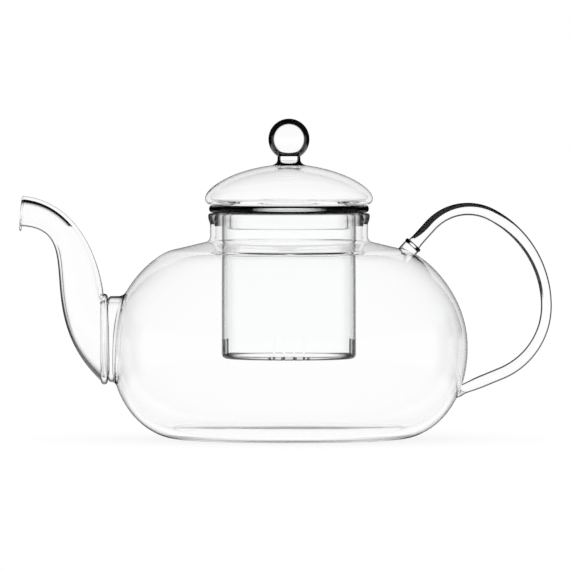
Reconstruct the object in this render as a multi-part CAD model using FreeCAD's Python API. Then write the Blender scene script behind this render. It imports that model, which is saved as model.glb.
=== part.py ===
import FreeCAD, Part
import math
import os

# A blown glass teapot with a lift-out glass infuser and a domed lid, in millimetres.
# The pot stands on z = 0 with its axis on Z, the spout points to -X and the handle to +X.

# Pot body: flat base, round bulb, sloped shoulder, straight neck with a fire-polished lip
BULB_RADIUS = 90.5
WIDEST_HEIGHT = 46.6
BASE_RADIUS = 56.0
BASE_THICKNESS = 3.0
BULB_WALL = 2.1
SHOULDER_INSET = 31.5
SHOULDER_RISE = 49.0
SHOULDER_SLOPE = 13.5
NECK_RADIUS = 40.0
NECK_WALL = 2.4
NECK_LENGTH = 14.0
NECK_FILLET = 3.0
LIP_OVERHANG = 1.0
LIP_FLARE_HEIGHT = 2.8
LIP_ROUND = 1.2

# How far each curve of the bulb runs straight on from its ends, as shares of its own span
BASE_CURVE_PULL = 0.43
FLANK_CURVE_PULL = 0.67
UPPER_CURVE_PULL = 0.54
SHOULDER_CURVE_PULL = 0.345

# Collar drawn out of the bulb, and the seam where the spout is welded to it
SPOUT_RISE = 3.8
SEAM_STANDOFF = 1.3
SEAM_BORE_RADIUS = 18.8
COLLAR_RADIUS = 21.6
COLLAR_EDGE_ROUND = 2.0
COLLAR_FLARE = 0.6
COLLAR_FLARE_LENGTH = 11.0

# Spout: a hollow S-curve that narrows from the seam to a level mouth
SPOUT_BASE_RADIUS = 22.4
SPOUT_WALL = 1.9
SPOUT_REACH = 42.4
SPOUT_FLATTENING = 0.12
MOUTH_DIAMETER = 15.2
MOUTH_ABOVE_LIP = 8.6
MOUTH_LEAN = 1.3
DRIP_LIP_LENGTH = 1.1
DRIP_LIP_DROP = 2.5
UPPER_RISE_PULL = 27.8
UPPER_RISE_ANGLE = 97.8
UPPER_MOUTH_PULL = 22.0
UPPER_MOUTH_ANGLE = 5.8
LOWER_RISE_PULL = 53.2
LOWER_RISE_ANGLE = 138.0
LOWER_MOUTH_PULL = 35.0
LOWER_MOUTH_ANGLE = 2.9
UPPER_OUTLINE_LAG = 1.6
LOWER_OUTLINE_LEAD = 0.9
SPOUT_SECTIONS = 13
FOOT_LENGTH = 2.0
FOOT_RING_WIDTH = 3.4
FOOT_RING_PROUD = 0.6

# Handle: a solid bent rod, welded to the shoulder and to the lower flank
ROD_RADIUS = 3.0
FINGER_ROOM = 36.9
HANDLE_RISE = 20.6
HANDLE_BACK_RADIUS = 52.2
HANDLE_BACK_TURN = 62.0
HANDLE_TOP_RADIUS = 25.6
HANDLE_TOP_TURN = 76.0
HANDLE_LOWER_RADIUS = 37.0
HANDLE_LOWER_TURN = 67.6
UPPER_GOB_RADIUS = 4.4
UPPER_GOB_LENGTH = 2.8
UPPER_RING_RADIUS = 4.7
UPPER_RING_WIDTH = 1.8
ROD_END_RADIUS = 3.5
ROD_END_LENGTH = 5.0
LOWER_GOB_RADIUS = 3.6
LOWER_GOB_LENGTH = 3.0
WELD_SINK = 4.0

# Infuser: a straight cup that hangs by its flange on the lip of the pot
SEAT_GAP = 0.3
INFUSER_NECK_GAP = 3.6
INFUSER_WALL = 1.8
INFUSER_DEPTH = 74.0
INFUSER_CORNER = 2.5
FLANGE_OVERLAP = 2.9
FLANGE_THICKNESS = 3.9
FLANGE_ROUND = 1.4
SLIT_GROUPS = 4
SLITS_PER_GROUP = 4
SLIT_PITCH = 5.0
SLIT_WIDTH = 1.0
SLIT_HEIGHT = 10.0
SLIT_FLOOR_LENGTH = 6.0

# Lid: a hollow dome with a rolled edge and a skirt that drops into the infuser
LID_OVERHANG = 2.0
DOME_HEIGHT = 20.3
DOME_WALL = 2.0
DOME_EDGE_ROUND = 2.9
DOME_TOP_PULL = 0.52
DOME_SIDE_PULL = 0.40
SKIRT_GAP = 0.8
SKIRT_WALL = 1.8
SKIRT_LENGTH = 12.5

# Knob: a solid ball on a short flared stem
BALL_RADIUS = 10.4
BALL_RISE = 12.7
STEM_RADIUS = 5.8
STEM_FOOT_RADIUS = 9.0
STEM_FOOT_HEIGHT = 2.4
STEM_SINK = 3.0

FULL_TURN = 360.0
HALF_TURN = 180.0
QUARTER_TURN = 90.0
CLOSING_TOLERANCE = 1e-6
UP = FreeCAD.Vector(0, 0, 1)
ORIGIN = FreeCAD.Vector(0, 0, 0)

# Sizes worked out from the driving dimensions
shoulder_radius = BULB_RADIUS - SHOULDER_INSET
shoulder_height = WIDEST_HEIGHT + SHOULDER_RISE
neck_foot = shoulder_height + (shoulder_radius - NECK_RADIUS) * math.tan(math.radians(SHOULDER_SLOPE))
lip_top = neck_foot + NECK_LENGTH
neck_bore = NECK_RADIUS - NECK_WALL
lip_radius = NECK_RADIUS + LIP_OVERHANG
spout_axis_height = WIDEST_HEIGHT + SPOUT_RISE
seam_x = -(BULB_RADIUS + SEAM_STANDOFF)
spout_start = seam_x - FOOT_LENGTH
cup_radius = neck_bore - INFUSER_NECK_GAP
cup_bore = cup_radius - INFUSER_WALL
flange_bottom = lip_top + SEAT_GAP
flange_top = flange_bottom + FLANGE_THICKNESS
flange_radius = neck_bore + FLANGE_OVERLAP
cup_bottom = flange_bottom - INFUSER_DEPTH
lid_seat = flange_top + SEAT_GAP
dome_radius = flange_radius + LID_OVERHANG
dome_crown = lid_seat + DOME_HEIGHT
skirt_radius = cup_bore - SKIRT_GAP


class Outline:
    """A closed outline in the XZ plane, drawn as radius and height from point to point."""

    def __init__(self, radius, height):
        self.start = FreeCAD.Vector(radius, 0, height)
        self.here = self.start
        self.edges = []

    def line(self, radius, height):
        """Draws a straight edge."""
        end = FreeCAD.Vector(radius, 0, height)
        self.edges.append(Part.LineSegment(self.here, end).toShape())
        self.here = end

    def curve(self, *points):
        """Draws a Bezier edge through its pull points to the last point."""
        poles = [self.here] + [FreeCAD.Vector(radius, 0, height) for radius, height in points]
        bezier = Part.BezierCurve()
        bezier.setPoles(poles)
        self.edges.append(bezier.toShape())
        self.here = poles[-1]

    def round(self, centre, radius, start, end):
        """Draws an arc about a centre from a start angle to an end angle, in degrees."""
        middle = around(centre, radius, (start + end) / 2)
        last = around(centre, radius, end)
        self.edges.append(Part.Arc(self.here, middle, last).toShape())
        self.here = last

    def turned(self):
        """Closes the outline and turns it about Z."""
        if self.here.distanceToPoint(self.start) > CLOSING_TOLERANCE:
            self.line(self.start.x, self.start.z)
        face = Part.Face(Part.Wire(self.edges))
        return face.revolve(ORIGIN, UP, FULL_TURN)


def around(centre, radius, angle):
    """The point at an angle in degrees on a circle in the XZ plane."""
    turn = math.radians(angle)
    return FreeCAD.Vector(centre[0] + radius * math.cos(turn), 0, centre[1] + radius * math.sin(turn))


def heading(angle, length):
    """A step of a given length in the XZ plane, at an angle in degrees from +X."""
    return around((0, 0), length, angle)


def draw_bulb(outline, inset, floor, neck_radius, fillet):
    """Draws the bulb from the edge of its floor to the neck, set in by a wall."""
    slope = math.radians(SHOULDER_SLOPE)
    side = BULB_RADIUS - inset
    round_end = (shoulder_radius - inset * math.sin(slope), shoulder_height - inset * math.cos(slope))
    base_pull = BASE_CURVE_PULL * (side - BASE_RADIUS)
    flank_pull = FLANK_CURVE_PULL * (WIDEST_HEIGHT - floor)
    outline.curve((BASE_RADIUS + base_pull, floor), (side, WIDEST_HEIGHT - flank_pull),
                  (side, WIDEST_HEIGHT))
    upper_pull = UPPER_CURVE_PULL * (round_end[1] - WIDEST_HEIGHT)
    shoulder_pull = SHOULDER_CURVE_PULL * (side - round_end[0])
    pulled = (round_end[0] + shoulder_pull * math.cos(slope),
              round_end[1] - shoulder_pull * math.sin(slope))
    outline.curve((side, WIDEST_HEIGHT + upper_pull), pulled, round_end)
    corner = round_end[1] + (round_end[0] - neck_radius) * math.tan(slope)
    turn = QUARTER_TURN - SHOULDER_SLOPE
    tangent = fillet * math.tan(math.radians(turn / 2))
    outline.line(neck_radius + tangent * math.cos(slope), corner - tangent * math.sin(slope))
    outline.round((neck_radius + fillet, corner + tangent), fillet, HALF_TURN + turn, HALF_TURN)


def draw_outside(outline):
    """Draws the pot's outside from the base to the top of the lip."""
    outline.line(BASE_RADIUS, 0)
    draw_bulb(outline, 0, 0, NECK_RADIUS, NECK_FILLET)
    outline.line(NECK_RADIUS, lip_top - LIP_ROUND - LIP_FLARE_HEIGHT)
    outline.line(lip_radius, lip_top - LIP_ROUND)
    outline.round((lip_radius - LIP_ROUND, lip_top - LIP_ROUND), LIP_ROUND, 0, QUARTER_TURN)


def pot_outside():
    """The pot as if it were solid glass, which its welded pieces are shaped against."""
    outline = Outline(0, 0)
    draw_outside(outline)
    outline.line(0, lip_top)
    return outline.turned()


def pot_hollow():
    """The space inside the pot, up to the lip."""
    outline = Outline(0, BASE_THICKNESS)
    outline.line(BASE_RADIUS, BASE_THICKNESS)
    draw_bulb(outline, BULB_WALL, BASE_THICKNESS, neck_bore, NECK_FILLET + BULB_WALL)
    outline.line(neck_bore, lip_top - LIP_ROUND)
    outline.round((neck_bore + LIP_ROUND, lip_top - LIP_ROUND), LIP_ROUND, HALF_TURN, QUARTER_TURN)
    outline.line(0, lip_top)
    return outline.turned()


def about_spout_axis(solid):
    """Moves a solid turned about Z onto the spout's axis, its height running from the seam to +X."""
    solid.rotate(ORIGIN, FreeCAD.Vector(0, 1, 0), QUARTER_TURN)
    solid.translate(FreeCAD.Vector(seam_x, 0, spout_axis_height))
    return solid


def collar():
    """The short tube that flares into the bulb behind the spout's seam."""
    outline = Outline(0, 0)
    edge = (COLLAR_RADIUS - COLLAR_EDGE_ROUND, COLLAR_EDGE_ROUND)
    outline.line(edge[0], 0)
    outline.round(edge, COLLAR_EDGE_ROUND, -QUARTER_TURN, 0)
    wide = COLLAR_RADIUS + COLLAR_FLARE
    end = COLLAR_EDGE_ROUND + COLLAR_FLARE_LENGTH
    outline.curve((COLLAR_RADIUS, COLLAR_EDGE_ROUND + COLLAR_FLARE_LENGTH / 2), (wide, end))
    outline.line(0, end)
    return about_spout_axis(outline.turned())


def pot_body(outside):
    """The blown bulb with its collar and the bore that feeds the spout."""
    solid = outside.fuse(collar()).cut(pot_hollow())
    bore = Part.makeCylinder(SEAM_BORE_RADIUS, -seam_x, FreeCAD.Vector(seam_x, 0, spout_axis_height),
                             FreeCAD.Vector(1, 0, 0))
    return solid.cut(bore).removeSplitter()


def spout_outlines():
    """The upper and lower outlines of the spout, as curves from its foot to the mouth."""
    mouth_top = FreeCAD.Vector(seam_x - SPOUT_REACH, 0, lip_top + MOUTH_ABOVE_LIP)
    mouth_bottom = mouth_top + FreeCAD.Vector(-MOUTH_LEAN, 0, -MOUTH_DIAMETER)
    base_top = FreeCAD.Vector(spout_start, 0, spout_axis_height + SPOUT_BASE_RADIUS)
    base_bottom = FreeCAD.Vector(spout_start, 0, spout_axis_height - SPOUT_BASE_RADIUS)
    upper = Part.BezierCurve()
    upper.setPoles([base_top, base_top + heading(UPPER_RISE_ANGLE, UPPER_RISE_PULL),
                    mouth_top + heading(-UPPER_MOUTH_ANGLE, UPPER_MOUTH_PULL), mouth_top])
    lower = Part.BezierCurve()
    lower.setPoles([base_bottom, base_bottom + heading(LOWER_RISE_ANGLE, LOWER_RISE_PULL),
                    mouth_bottom + heading(-LOWER_MOUTH_ANGLE, LOWER_MOUTH_PULL), mouth_bottom])
    return upper, lower


def inward(outline, along):
    """The direction into the spout from its upper outline, and out of it from its lower outline."""
    tangent = outline.tangent(along)[0]
    return FreeCAD.Vector(-tangent.z, 0, tangent.x)


def oval(top, bottom, half_width):
    """An oval wire that spans two points of the outlines."""
    half = (top - bottom) / 2
    across = FreeCAD.Vector(0, 1, 0)
    edge = Part.Ellipse(ORIGIN, half.Length, min(half_width, half.Length)).toShape()
    turn = FreeCAD.Rotation(half, across, half.cross(across), "XYZ")
    edge.Placement = FreeCAD.Placement(bottom + half, turn)
    return Part.Wire(edge)


def spout_form(inset):
    """A closed loft through the spout's sections and its drip lip, set in by a wall."""
    upper, lower = spout_outlines()
    wires = [oval(upper.value(0) - UP * inset, lower.value(0) + UP * inset, SPOUT_BASE_RADIUS - inset)]
    for index in range(1, SPOUT_SECTIONS):
        along = index / (SPOUT_SECTIONS - 1)
        high = along ** UPPER_OUTLINE_LAG
        low = along ** LOWER_OUTLINE_LEAD
        top = upper.value(high)
        bottom = lower.value(low)
        slimmed = 1 - SPOUT_FLATTENING * math.sin(math.pi * low)
        half_width = top.distanceToPoint(bottom) / 2 * slimmed - inset
        inner_top = top + inward(upper, high) * inset
        inner_bottom = bottom - inward(lower, low) * inset
        wires.append(oval(inner_top, inner_bottom, half_width))
    tip = upper.value(1) + FreeCAD.Vector(-DRIP_LIP_LENGTH, 0, 0)
    drip = lower.value(1) + FreeCAD.Vector(-DRIP_LIP_LENGTH, 0, -DRIP_LIP_DROP)
    lip_wall = (tip - drip).normalize() * inset
    wires.append(oval(tip - lip_wall, drip + lip_wall, tip.distanceToPoint(drip) / 2 - inset))
    return Part.makeLoft(wires, True, False)


def foot_ring():
    """The rounded bead of glass round the spout's foot."""
    half = FOOT_RING_WIDTH / 2
    rim = SPOUT_BASE_RADIUS + FOOT_RING_PROUD
    outline = Outline(0, 0)
    outline.line(rim - half, 0)
    outline.round((rim - half, -half), half, QUARTER_TURN, -QUARTER_TURN)
    outline.line(0, -FOOT_RING_WIDTH)
    return about_spout_axis(outline.turned())


def spout():
    """The hollow spout with its foot ring, open at the seam and at the mouth."""
    way_in = Part.makeCylinder(SEAM_BORE_RADIUS, FOOT_LENGTH,
                               FreeCAD.Vector(spout_start, 0, spout_axis_height), FreeCAD.Vector(1, 0, 0))
    hollow = spout_form(SPOUT_WALL)
    ring = foot_ring().cut(way_in).cut(hollow)
    return spout_form(0).cut(hollow).fuse(ring).removeSplitter()


def weld(place, direction, profile):
    """A gob of glass turned about a rod, from inside the pot outwards along a direction."""
    outline = Outline(0, -WELD_SINK)
    profile(outline)
    solid = outline.turned()
    solid.rotate(ORIGIN, FreeCAD.Vector(0, 1, 0), math.degrees(math.atan2(direction.x, direction.z)))
    solid.translate(place)
    return solid


def upper_weld_profile(outline):
    """A gob with a bead at its end, where the thickened end of the rod meets the shoulder."""
    bead = UPPER_RING_WIDTH / 2
    bead_middle = UPPER_GOB_LENGTH + bead
    rod_start = bead_middle + ROD_END_LENGTH
    outline.line(UPPER_GOB_RADIUS, -WELD_SINK)
    outline.line(UPPER_GOB_RADIUS, UPPER_GOB_LENGTH)
    outline.curve((UPPER_RING_RADIUS, UPPER_GOB_LENGTH), (UPPER_RING_RADIUS, bead_middle))
    outline.curve((UPPER_RING_RADIUS, bead_middle + bead), (ROD_END_RADIUS, bead_middle + bead))
    outline.curve((ROD_END_RADIUS, rod_start - ROD_END_LENGTH / 2), (ROD_RADIUS, rod_start))
    outline.line(0, rod_start)


def lower_weld_profile(outline):
    """A small flare where the rod meets the lower flank."""
    outline.line(LOWER_GOB_RADIUS, -WELD_SINK)
    outline.line(LOWER_GOB_RADIUS, 0)
    outline.curve((ROD_RADIUS, LOWER_GOB_LENGTH / 2), (ROD_RADIUS, LOWER_GOB_LENGTH))
    outline.line(0, LOWER_GOB_LENGTH)


def reach_pot(outside, start, direction):
    """The point where a straight run from a start meets the outside of the pot."""
    run = Part.LineSegment(start, start + direction * (2 * BULB_RADIUS)).toShape()
    outer_runs = run.cut(outside).Edges
    first = min(outer_runs, key=lambda edge: edge.distToShape(Part.Vertex(start))[0])
    return max((vertex.Point for vertex in first.Vertexes), key=start.distanceToPoint)


def handle(outside):
    """The bent rod with its two welds, shaped to the pot where it meets it."""
    back = FreeCAD.Vector(BULB_RADIUS + FINGER_ROOM + ROD_RADIUS, 0, WIDEST_HEIGHT + HANDLE_RISE)
    back_centre = (back.x - HANDLE_BACK_RADIUS, back.z)
    back_end = around(back_centre, HANDLE_BACK_RADIUS, HANDLE_BACK_TURN)
    step = heading(HANDLE_BACK_TURN, HANDLE_BACK_RADIUS - HANDLE_TOP_RADIUS)
    top_centre = (back_centre[0] + step.x, back_centre[1] + step.z)
    top_turn = HANDLE_BACK_TURN + HANDLE_TOP_TURN
    top_end = around(top_centre, HANDLE_TOP_RADIUS, top_turn)
    lower_centre = (back.x - HANDLE_LOWER_RADIUS, back.z)
    lower_end = around(lower_centre, HANDLE_LOWER_RADIUS, -HANDLE_LOWER_TURN)

    upper_run = heading(top_turn + QUARTER_TURN, 1)
    lower_run = heading(-HANDLE_LOWER_TURN - QUARTER_TURN, 1)
    upper_foot = reach_pot(outside, top_end, upper_run)
    lower_foot = reach_pot(outside, lower_end, lower_run)

    upper_start = upper_foot + upper_run * WELD_SINK
    back_middle = around(back_centre, HANDLE_BACK_RADIUS, HANDLE_BACK_TURN / 2)
    top_middle = around(top_centre, HANDLE_TOP_RADIUS, HANDLE_BACK_TURN + HANDLE_TOP_TURN / 2)
    lower_middle = around(lower_centre, HANDLE_LOWER_RADIUS, -HANDLE_LOWER_TURN / 2)
    path = Part.Wire([
        Part.LineSegment(upper_start, top_end).toShape(),
        Part.Arc(top_end, top_middle, back_end).toShape(),
        Part.Arc(back_end, back_middle, back).toShape(),
        Part.Arc(back, lower_middle, lower_end).toShape(),
        Part.LineSegment(lower_end, lower_foot + lower_run * WELD_SINK).toShape(),
    ])
    section = Part.Face(Part.Wire(Part.Circle(upper_start, upper_run, ROD_RADIUS).toShape()))
    rod = path.makePipe(section)
    welds = [weld(upper_foot, upper_run * -1, upper_weld_profile),
             weld(lower_foot, lower_run * -1, lower_weld_profile)]
    return rod.fuse(welds).cut(outside).removeSplitter()


def infuser_cup():
    """The cup with its floor, straight wall and thick rounded flange."""
    outline = Outline(0, cup_bottom)
    outline.line(cup_radius - INFUSER_CORNER, cup_bottom)
    corner = (cup_radius - INFUSER_CORNER, cup_bottom + INFUSER_CORNER)
    outline.round(corner, INFUSER_CORNER, -QUARTER_TURN, 0)
    outline.line(cup_radius, flange_bottom - FLANGE_ROUND)
    outline.round((cup_radius + FLANGE_ROUND, flange_bottom - FLANGE_ROUND), FLANGE_ROUND,
                  HALF_TURN, QUARTER_TURN)
    rim = flange_radius - FLANGE_ROUND
    outline.line(rim, flange_bottom)
    outline.round((rim, flange_bottom + FLANGE_ROUND), FLANGE_ROUND, -QUARTER_TURN, 0)
    outline.line(flange_radius, flange_top - FLANGE_ROUND)
    outline.round((rim, flange_top - FLANGE_ROUND), FLANGE_ROUND, 0, QUARTER_TURN)
    outline.line(cup_bore + FLANGE_ROUND, flange_top)
    outline.round((cup_bore + FLANGE_ROUND, flange_top - FLANGE_ROUND), FLANGE_ROUND,
                  QUARTER_TURN, HALF_TURN)
    outline.line(cup_bore, cup_bottom + INFUSER_CORNER)
    outline.round(corner, INFUSER_CORNER - INFUSER_WALL, 0, -QUARTER_TURN)
    outline.line(0, cup_bottom + INFUSER_WALL)
    return outline.turned()


def slits():
    """Saw cuts through the lower edge of the cup, in groups of parallel slits."""
    cuts = []
    length = SLIT_FLOOR_LENGTH + INFUSER_WALL
    depth = SLIT_HEIGHT + INFUSER_WALL
    for group in range(SLIT_GROUPS):
        for index in range(SLITS_PER_GROUP):
            side = (index - (SLITS_PER_GROUP - 1) / 2) * SLIT_PITCH
            corner = FreeCAD.Vector(cup_radius - SLIT_FLOOR_LENGTH, side - SLIT_WIDTH / 2,
                                    cup_bottom - INFUSER_WALL)
            cut = Part.makeBox(length, SLIT_WIDTH, depth, corner)
            cut.rotate(ORIGIN, UP, group * FULL_TURN / SLIT_GROUPS)
            cuts.append(cut)
    return cuts


def infuser():
    """The slit cup."""
    return infuser_cup().cut(slits())


def draw_dome(outline, radius, crown, side):
    """Draws a dome from its crown to its side."""
    fall = crown - side
    outline.curve((radius * DOME_TOP_PULL, crown), (radius, side + fall * DOME_SIDE_PULL), (radius, side))


def dome_outside():
    """The lid's dome as if it were solid glass, which the knob is shaped against."""
    outline = Outline(0, dome_crown)
    draw_dome(outline, dome_radius, dome_crown, lid_seat + DOME_EDGE_ROUND)
    edge = (dome_radius - DOME_EDGE_ROUND, lid_seat + DOME_EDGE_ROUND)
    outline.round(edge, DOME_EDGE_ROUND, 0, -QUARTER_TURN)
    outline.line(0, lid_seat)
    return outline.turned()


def dome_hollow():
    """The space inside the dome, above its web."""
    outline = Outline(0, dome_crown - DOME_WALL)
    draw_dome(outline, dome_radius - DOME_WALL, dome_crown - DOME_WALL, lid_seat + DOME_EDGE_ROUND)
    edge = (dome_radius - DOME_EDGE_ROUND, lid_seat + DOME_EDGE_ROUND)
    outline.round(edge, DOME_EDGE_ROUND - DOME_WALL, 0, -QUARTER_TURN)
    outline.line(0, lid_seat + DOME_WALL)
    return outline.turned()


def lid_dome(outside):
    """The hollow dome, the web of its rolled edge and the skirt below it."""
    skirt_bore = skirt_radius - SKIRT_WALL
    half = SKIRT_WALL / 2
    tip = lid_seat - SKIRT_LENGTH + half
    skirt = Outline(skirt_radius, tip)
    skirt.line(skirt_radius, lid_seat + half)
    skirt.line(skirt_bore, lid_seat + half)
    skirt.line(skirt_bore, tip)
    skirt.round((skirt_radius - half, tip), half, HALF_TURN, FULL_TURN)
    way_in = Part.makeCylinder(skirt_bore, DOME_WALL * 2, FreeCAD.Vector(0, 0, lid_seat - half))
    return outside.cut(dome_hollow()).cut(way_in).fuse(skirt.turned()).removeSplitter()


def lid_knob(outside):
    """The ball and its stem, shaped to the dome."""
    centre = dome_crown + BALL_RISE
    foot = dome_crown - STEM_SINK
    stem_top = centre - math.sqrt(BALL_RADIUS ** 2 - STEM_RADIUS ** 2)
    start = math.degrees(math.asin((stem_top - centre) / BALL_RADIUS))
    outline = Outline(0, foot)
    outline.line(STEM_FOOT_RADIUS, foot)
    outline.line(STEM_FOOT_RADIUS, dome_crown)
    outline.curve((STEM_RADIUS, dome_crown), (STEM_RADIUS, dome_crown + STEM_FOOT_HEIGHT))
    outline.line(STEM_RADIUS, stem_top)
    outline.round((0, centre), BALL_RADIUS, start, QUARTER_TURN)
    return outline.turned().cut(outside)


def main():
    """Builds every piece and writes one file for each."""
    pot = pot_outside()
    dome = dome_outside()
    pieces = {
        "pot_body": pot_body(pot),
        "spout": spout(),
        "handle": handle(pot),
        "infuser": infuser(),
        "lid_dome": lid_dome(dome),
        "lid_knob": lid_knob(dome),
    }
    os.makedirs("parts", exist_ok=True)
    for name, shape in pieces.items():
        box = shape.BoundBox
        print(name, "solids", len(shape.Solids), "valid", shape.isValid(), "volume", round(shape.Volume, 1),
              "x", round(box.XMin, 2), round(box.XMax, 2), "z", round(box.ZMin, 2), round(box.ZMax, 2))
        shape.exportStep(os.path.join("parts", name + ".step"))


main()
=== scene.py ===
"""A clear glass teapot with a lift-out infuser and a domed lid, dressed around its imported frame.

Lengths are in metres, written as millimetres times MM, and angles are in degrees.
The pot's axis is Z, the spout points to -X and the handle to +X.
"""

import logging
import math
from contextlib import contextmanager
from dataclasses import dataclass
from enum import Enum
from typing import Callable, Iterator, Mapping, Sequence

import bmesh
import bpy
from mathutils import Matrix, Vector


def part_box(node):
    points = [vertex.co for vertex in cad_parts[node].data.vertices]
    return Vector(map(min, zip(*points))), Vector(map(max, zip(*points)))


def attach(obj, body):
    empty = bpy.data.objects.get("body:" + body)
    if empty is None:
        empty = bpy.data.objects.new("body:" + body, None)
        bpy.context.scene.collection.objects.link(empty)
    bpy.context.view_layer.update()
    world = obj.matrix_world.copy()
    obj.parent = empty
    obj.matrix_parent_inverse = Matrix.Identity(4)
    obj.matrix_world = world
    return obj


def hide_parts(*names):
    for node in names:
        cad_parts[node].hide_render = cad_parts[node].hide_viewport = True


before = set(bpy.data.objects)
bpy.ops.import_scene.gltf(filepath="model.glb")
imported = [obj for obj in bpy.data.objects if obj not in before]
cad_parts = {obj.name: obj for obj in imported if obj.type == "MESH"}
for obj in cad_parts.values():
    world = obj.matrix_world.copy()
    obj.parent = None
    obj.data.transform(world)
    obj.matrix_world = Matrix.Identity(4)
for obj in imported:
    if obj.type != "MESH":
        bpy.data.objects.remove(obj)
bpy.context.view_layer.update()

LOG = logging.getLogger("teapot")
MM = 0.001
FULL_TURN = 2 * math.pi
TURNED_SIDES = 256
MERGE_DISTANCE = 0.002 * MM
SMOOTH_ANGLE = 38.0
HALVINGS = 40

Point = tuple[float, float]
Colour = tuple[float, float, float, float]
Piece = bpy.types.Object
Face = bmesh.types.BMFace
FaceTest = Callable[[Face], bool]
Way = Callable[[float], Point]
Socket = bpy.types.NodeSocket
Source = Socket | float | Sequence[float]


class Body(Enum):
    """The bodies of the frame that the pieces ride on."""

    POT = "pot"
    INFUSER = "infuser"
    LID = "lid"


class Solid(Enum):
    """How one closed shape is worked with another."""

    CUT = "DIFFERENCE"
    JOIN = "UNION"


class Wall(Enum):
    """The two faces of a blown wall."""

    OUTER = "outer"
    INNER = "inner"


class Sketch:
    """A half-section of a turned piece, drawn from point to point as radius and height."""

    def __init__(self, *points: Point) -> None:
        """Puts the pen down at the end of the first points."""
        self.points: list[Point] = list(points)

    def line(self, radius: float, height: float, steps: int = 1) -> None:
        """Draws a straight stretch.

        Args:
            radius: Radius at its end.
            height: Height at its end.
            steps: How many points it gets.
        """
        start = self.points[-1]
        for share in shares(steps):
            self.points.append((start[0] + (radius - start[0]) * share, start[1] + (height - start[1]) * share))

    def arc(self, centre: Point, radius: float, start: float, end: float, steps: int) -> None:
        """Draws a round stretch about a centre, from one angle to another.

        Args:
            centre: Radius and height of the centre.
            radius: Radius of the arc.
            start: Angle where it starts.
            end: Angle where it ends.
            steps: How many points it gets.
        """
        for step in range(1, steps + 1):
            angle = math.radians(start + (end - start) * step / steps)
            self.points.append((centre[0] + radius * math.cos(angle), centre[1] + radius * math.sin(angle)))

    def curve(self, near: Point, far: Point, end: Point, steps: int) -> None:
        """Draws a curve with two pull points.

        Args:
            near: Pull point at its start.
            far: Pull point at its end.
            end: Where it ends.
            steps: How many points it gets.
        """
        bezier = Bezier(self.points[-1], near, far, end)
        self.points.extend(bezier.at(share) for share in shares(steps))


@dataclass(frozen=True)
class Bezier:
    """A curve in a plane with two pull points."""

    start: Point
    near: Point
    far: Point
    end: Point

    def weighed(self, *weights: float) -> Point:
        """The sum of the four poles, each times its weight."""
        poles = (self.start, self.near, self.far, self.end)
        return (sum(w * p[0] for w, p in zip(weights, poles)), sum(w * p[1] for w, p in zip(weights, poles)))

    def at(self, share: float) -> Point:
        """The point at a share of the way along."""
        rest = 1 - share
        return self.weighed(rest ** 3, 3 * rest ** 2 * share, 3 * rest * share ** 2, share ** 3)

    def left_of(self, share: float) -> Point:
        """The unit direction to the left of the way along, at a share of it."""
        rest = 1 - share
        run, rise = self.weighed(-rest ** 2, rest ** 2 - 2 * rest * share, 2 * rest * share - share ** 2, share ** 2)
        length = math.hypot(run, rise)
        return (-rise / length, run / length)


def radius_at(points: Sequence[Point], height: float) -> float:
    """The radius of a rising outline at a height, read between its points.

    Args:
        points: The outline, from its lowest point up.
        height: Where to read it.

    Returns:
        The radius there, or that of the nearest end.
    """
    for low, high in zip(points, points[1:]):
        if low[1] <= height <= high[1] and high[1] > low[1]:
            share = (height - low[1]) / (high[1] - low[1])
            return low[0] + (high[0] - low[0]) * share
    return points[0][0] if height < points[0][1] else points[-1][0]


def last_true(test: Callable[[float], bool], near: float, far: float) -> float:
    """Finds by halving how far a test holds.

    Args:
        test: The test.
        near: A value at which it holds.
        far: A value at which it doesn't.

    Returns:
        The last value between them at which it holds.
    """
    for _ in range(HALVINGS):
        middle = (near + far) / 2
        if test(middle):
            near = middle
        else:
            far = middle
    return near


def eased(share: float) -> float:
    """A share of a way that starts and ends gently."""
    return share * share * (3 - 2 * share)


def shares(steps: int) -> list[float]:
    """The shares of a way after each of its steps."""
    return [step / steps for step in range(1, steps + 1)]


def clear_bench() -> None:
    """Leaves nothing selected, before something is added."""
    bpy.ops.object.select_all(action="DESELECT")


def pick(piece: Piece) -> None:
    """Selects one piece alone and makes it the active one."""
    clear_bench()
    piece.select_set(True)
    bpy.context.view_layer.objects.active = piece


@contextmanager
def editing(piece: Piece) -> Iterator[None]:
    """Opens one piece alone in edit mode, with nothing in it selected, and closes it again."""
    pick(piece)
    bpy.ops.object.mode_set(mode="EDIT")
    bpy.ops.mesh.select_mode(type="EDGE")
    bpy.ops.mesh.select_all(action="DESELECT")
    yield
    bpy.ops.object.mode_set(mode="OBJECT")


def named(name: str) -> Piece:
    """Names the primitive that was just added."""
    piece = bpy.context.object
    piece.name = name
    return piece


def close_up(piece: Piece) -> None:
    """Merges the doubles of an open piece's seams and poles and turns its faces outwards."""
    with editing(piece):
        bpy.ops.mesh.select_all(action="SELECT")
        bpy.ops.mesh.remove_doubles(threshold=MERGE_DISTANCE)
        bpy.ops.mesh.normals_make_consistent(inside=False)


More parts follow.
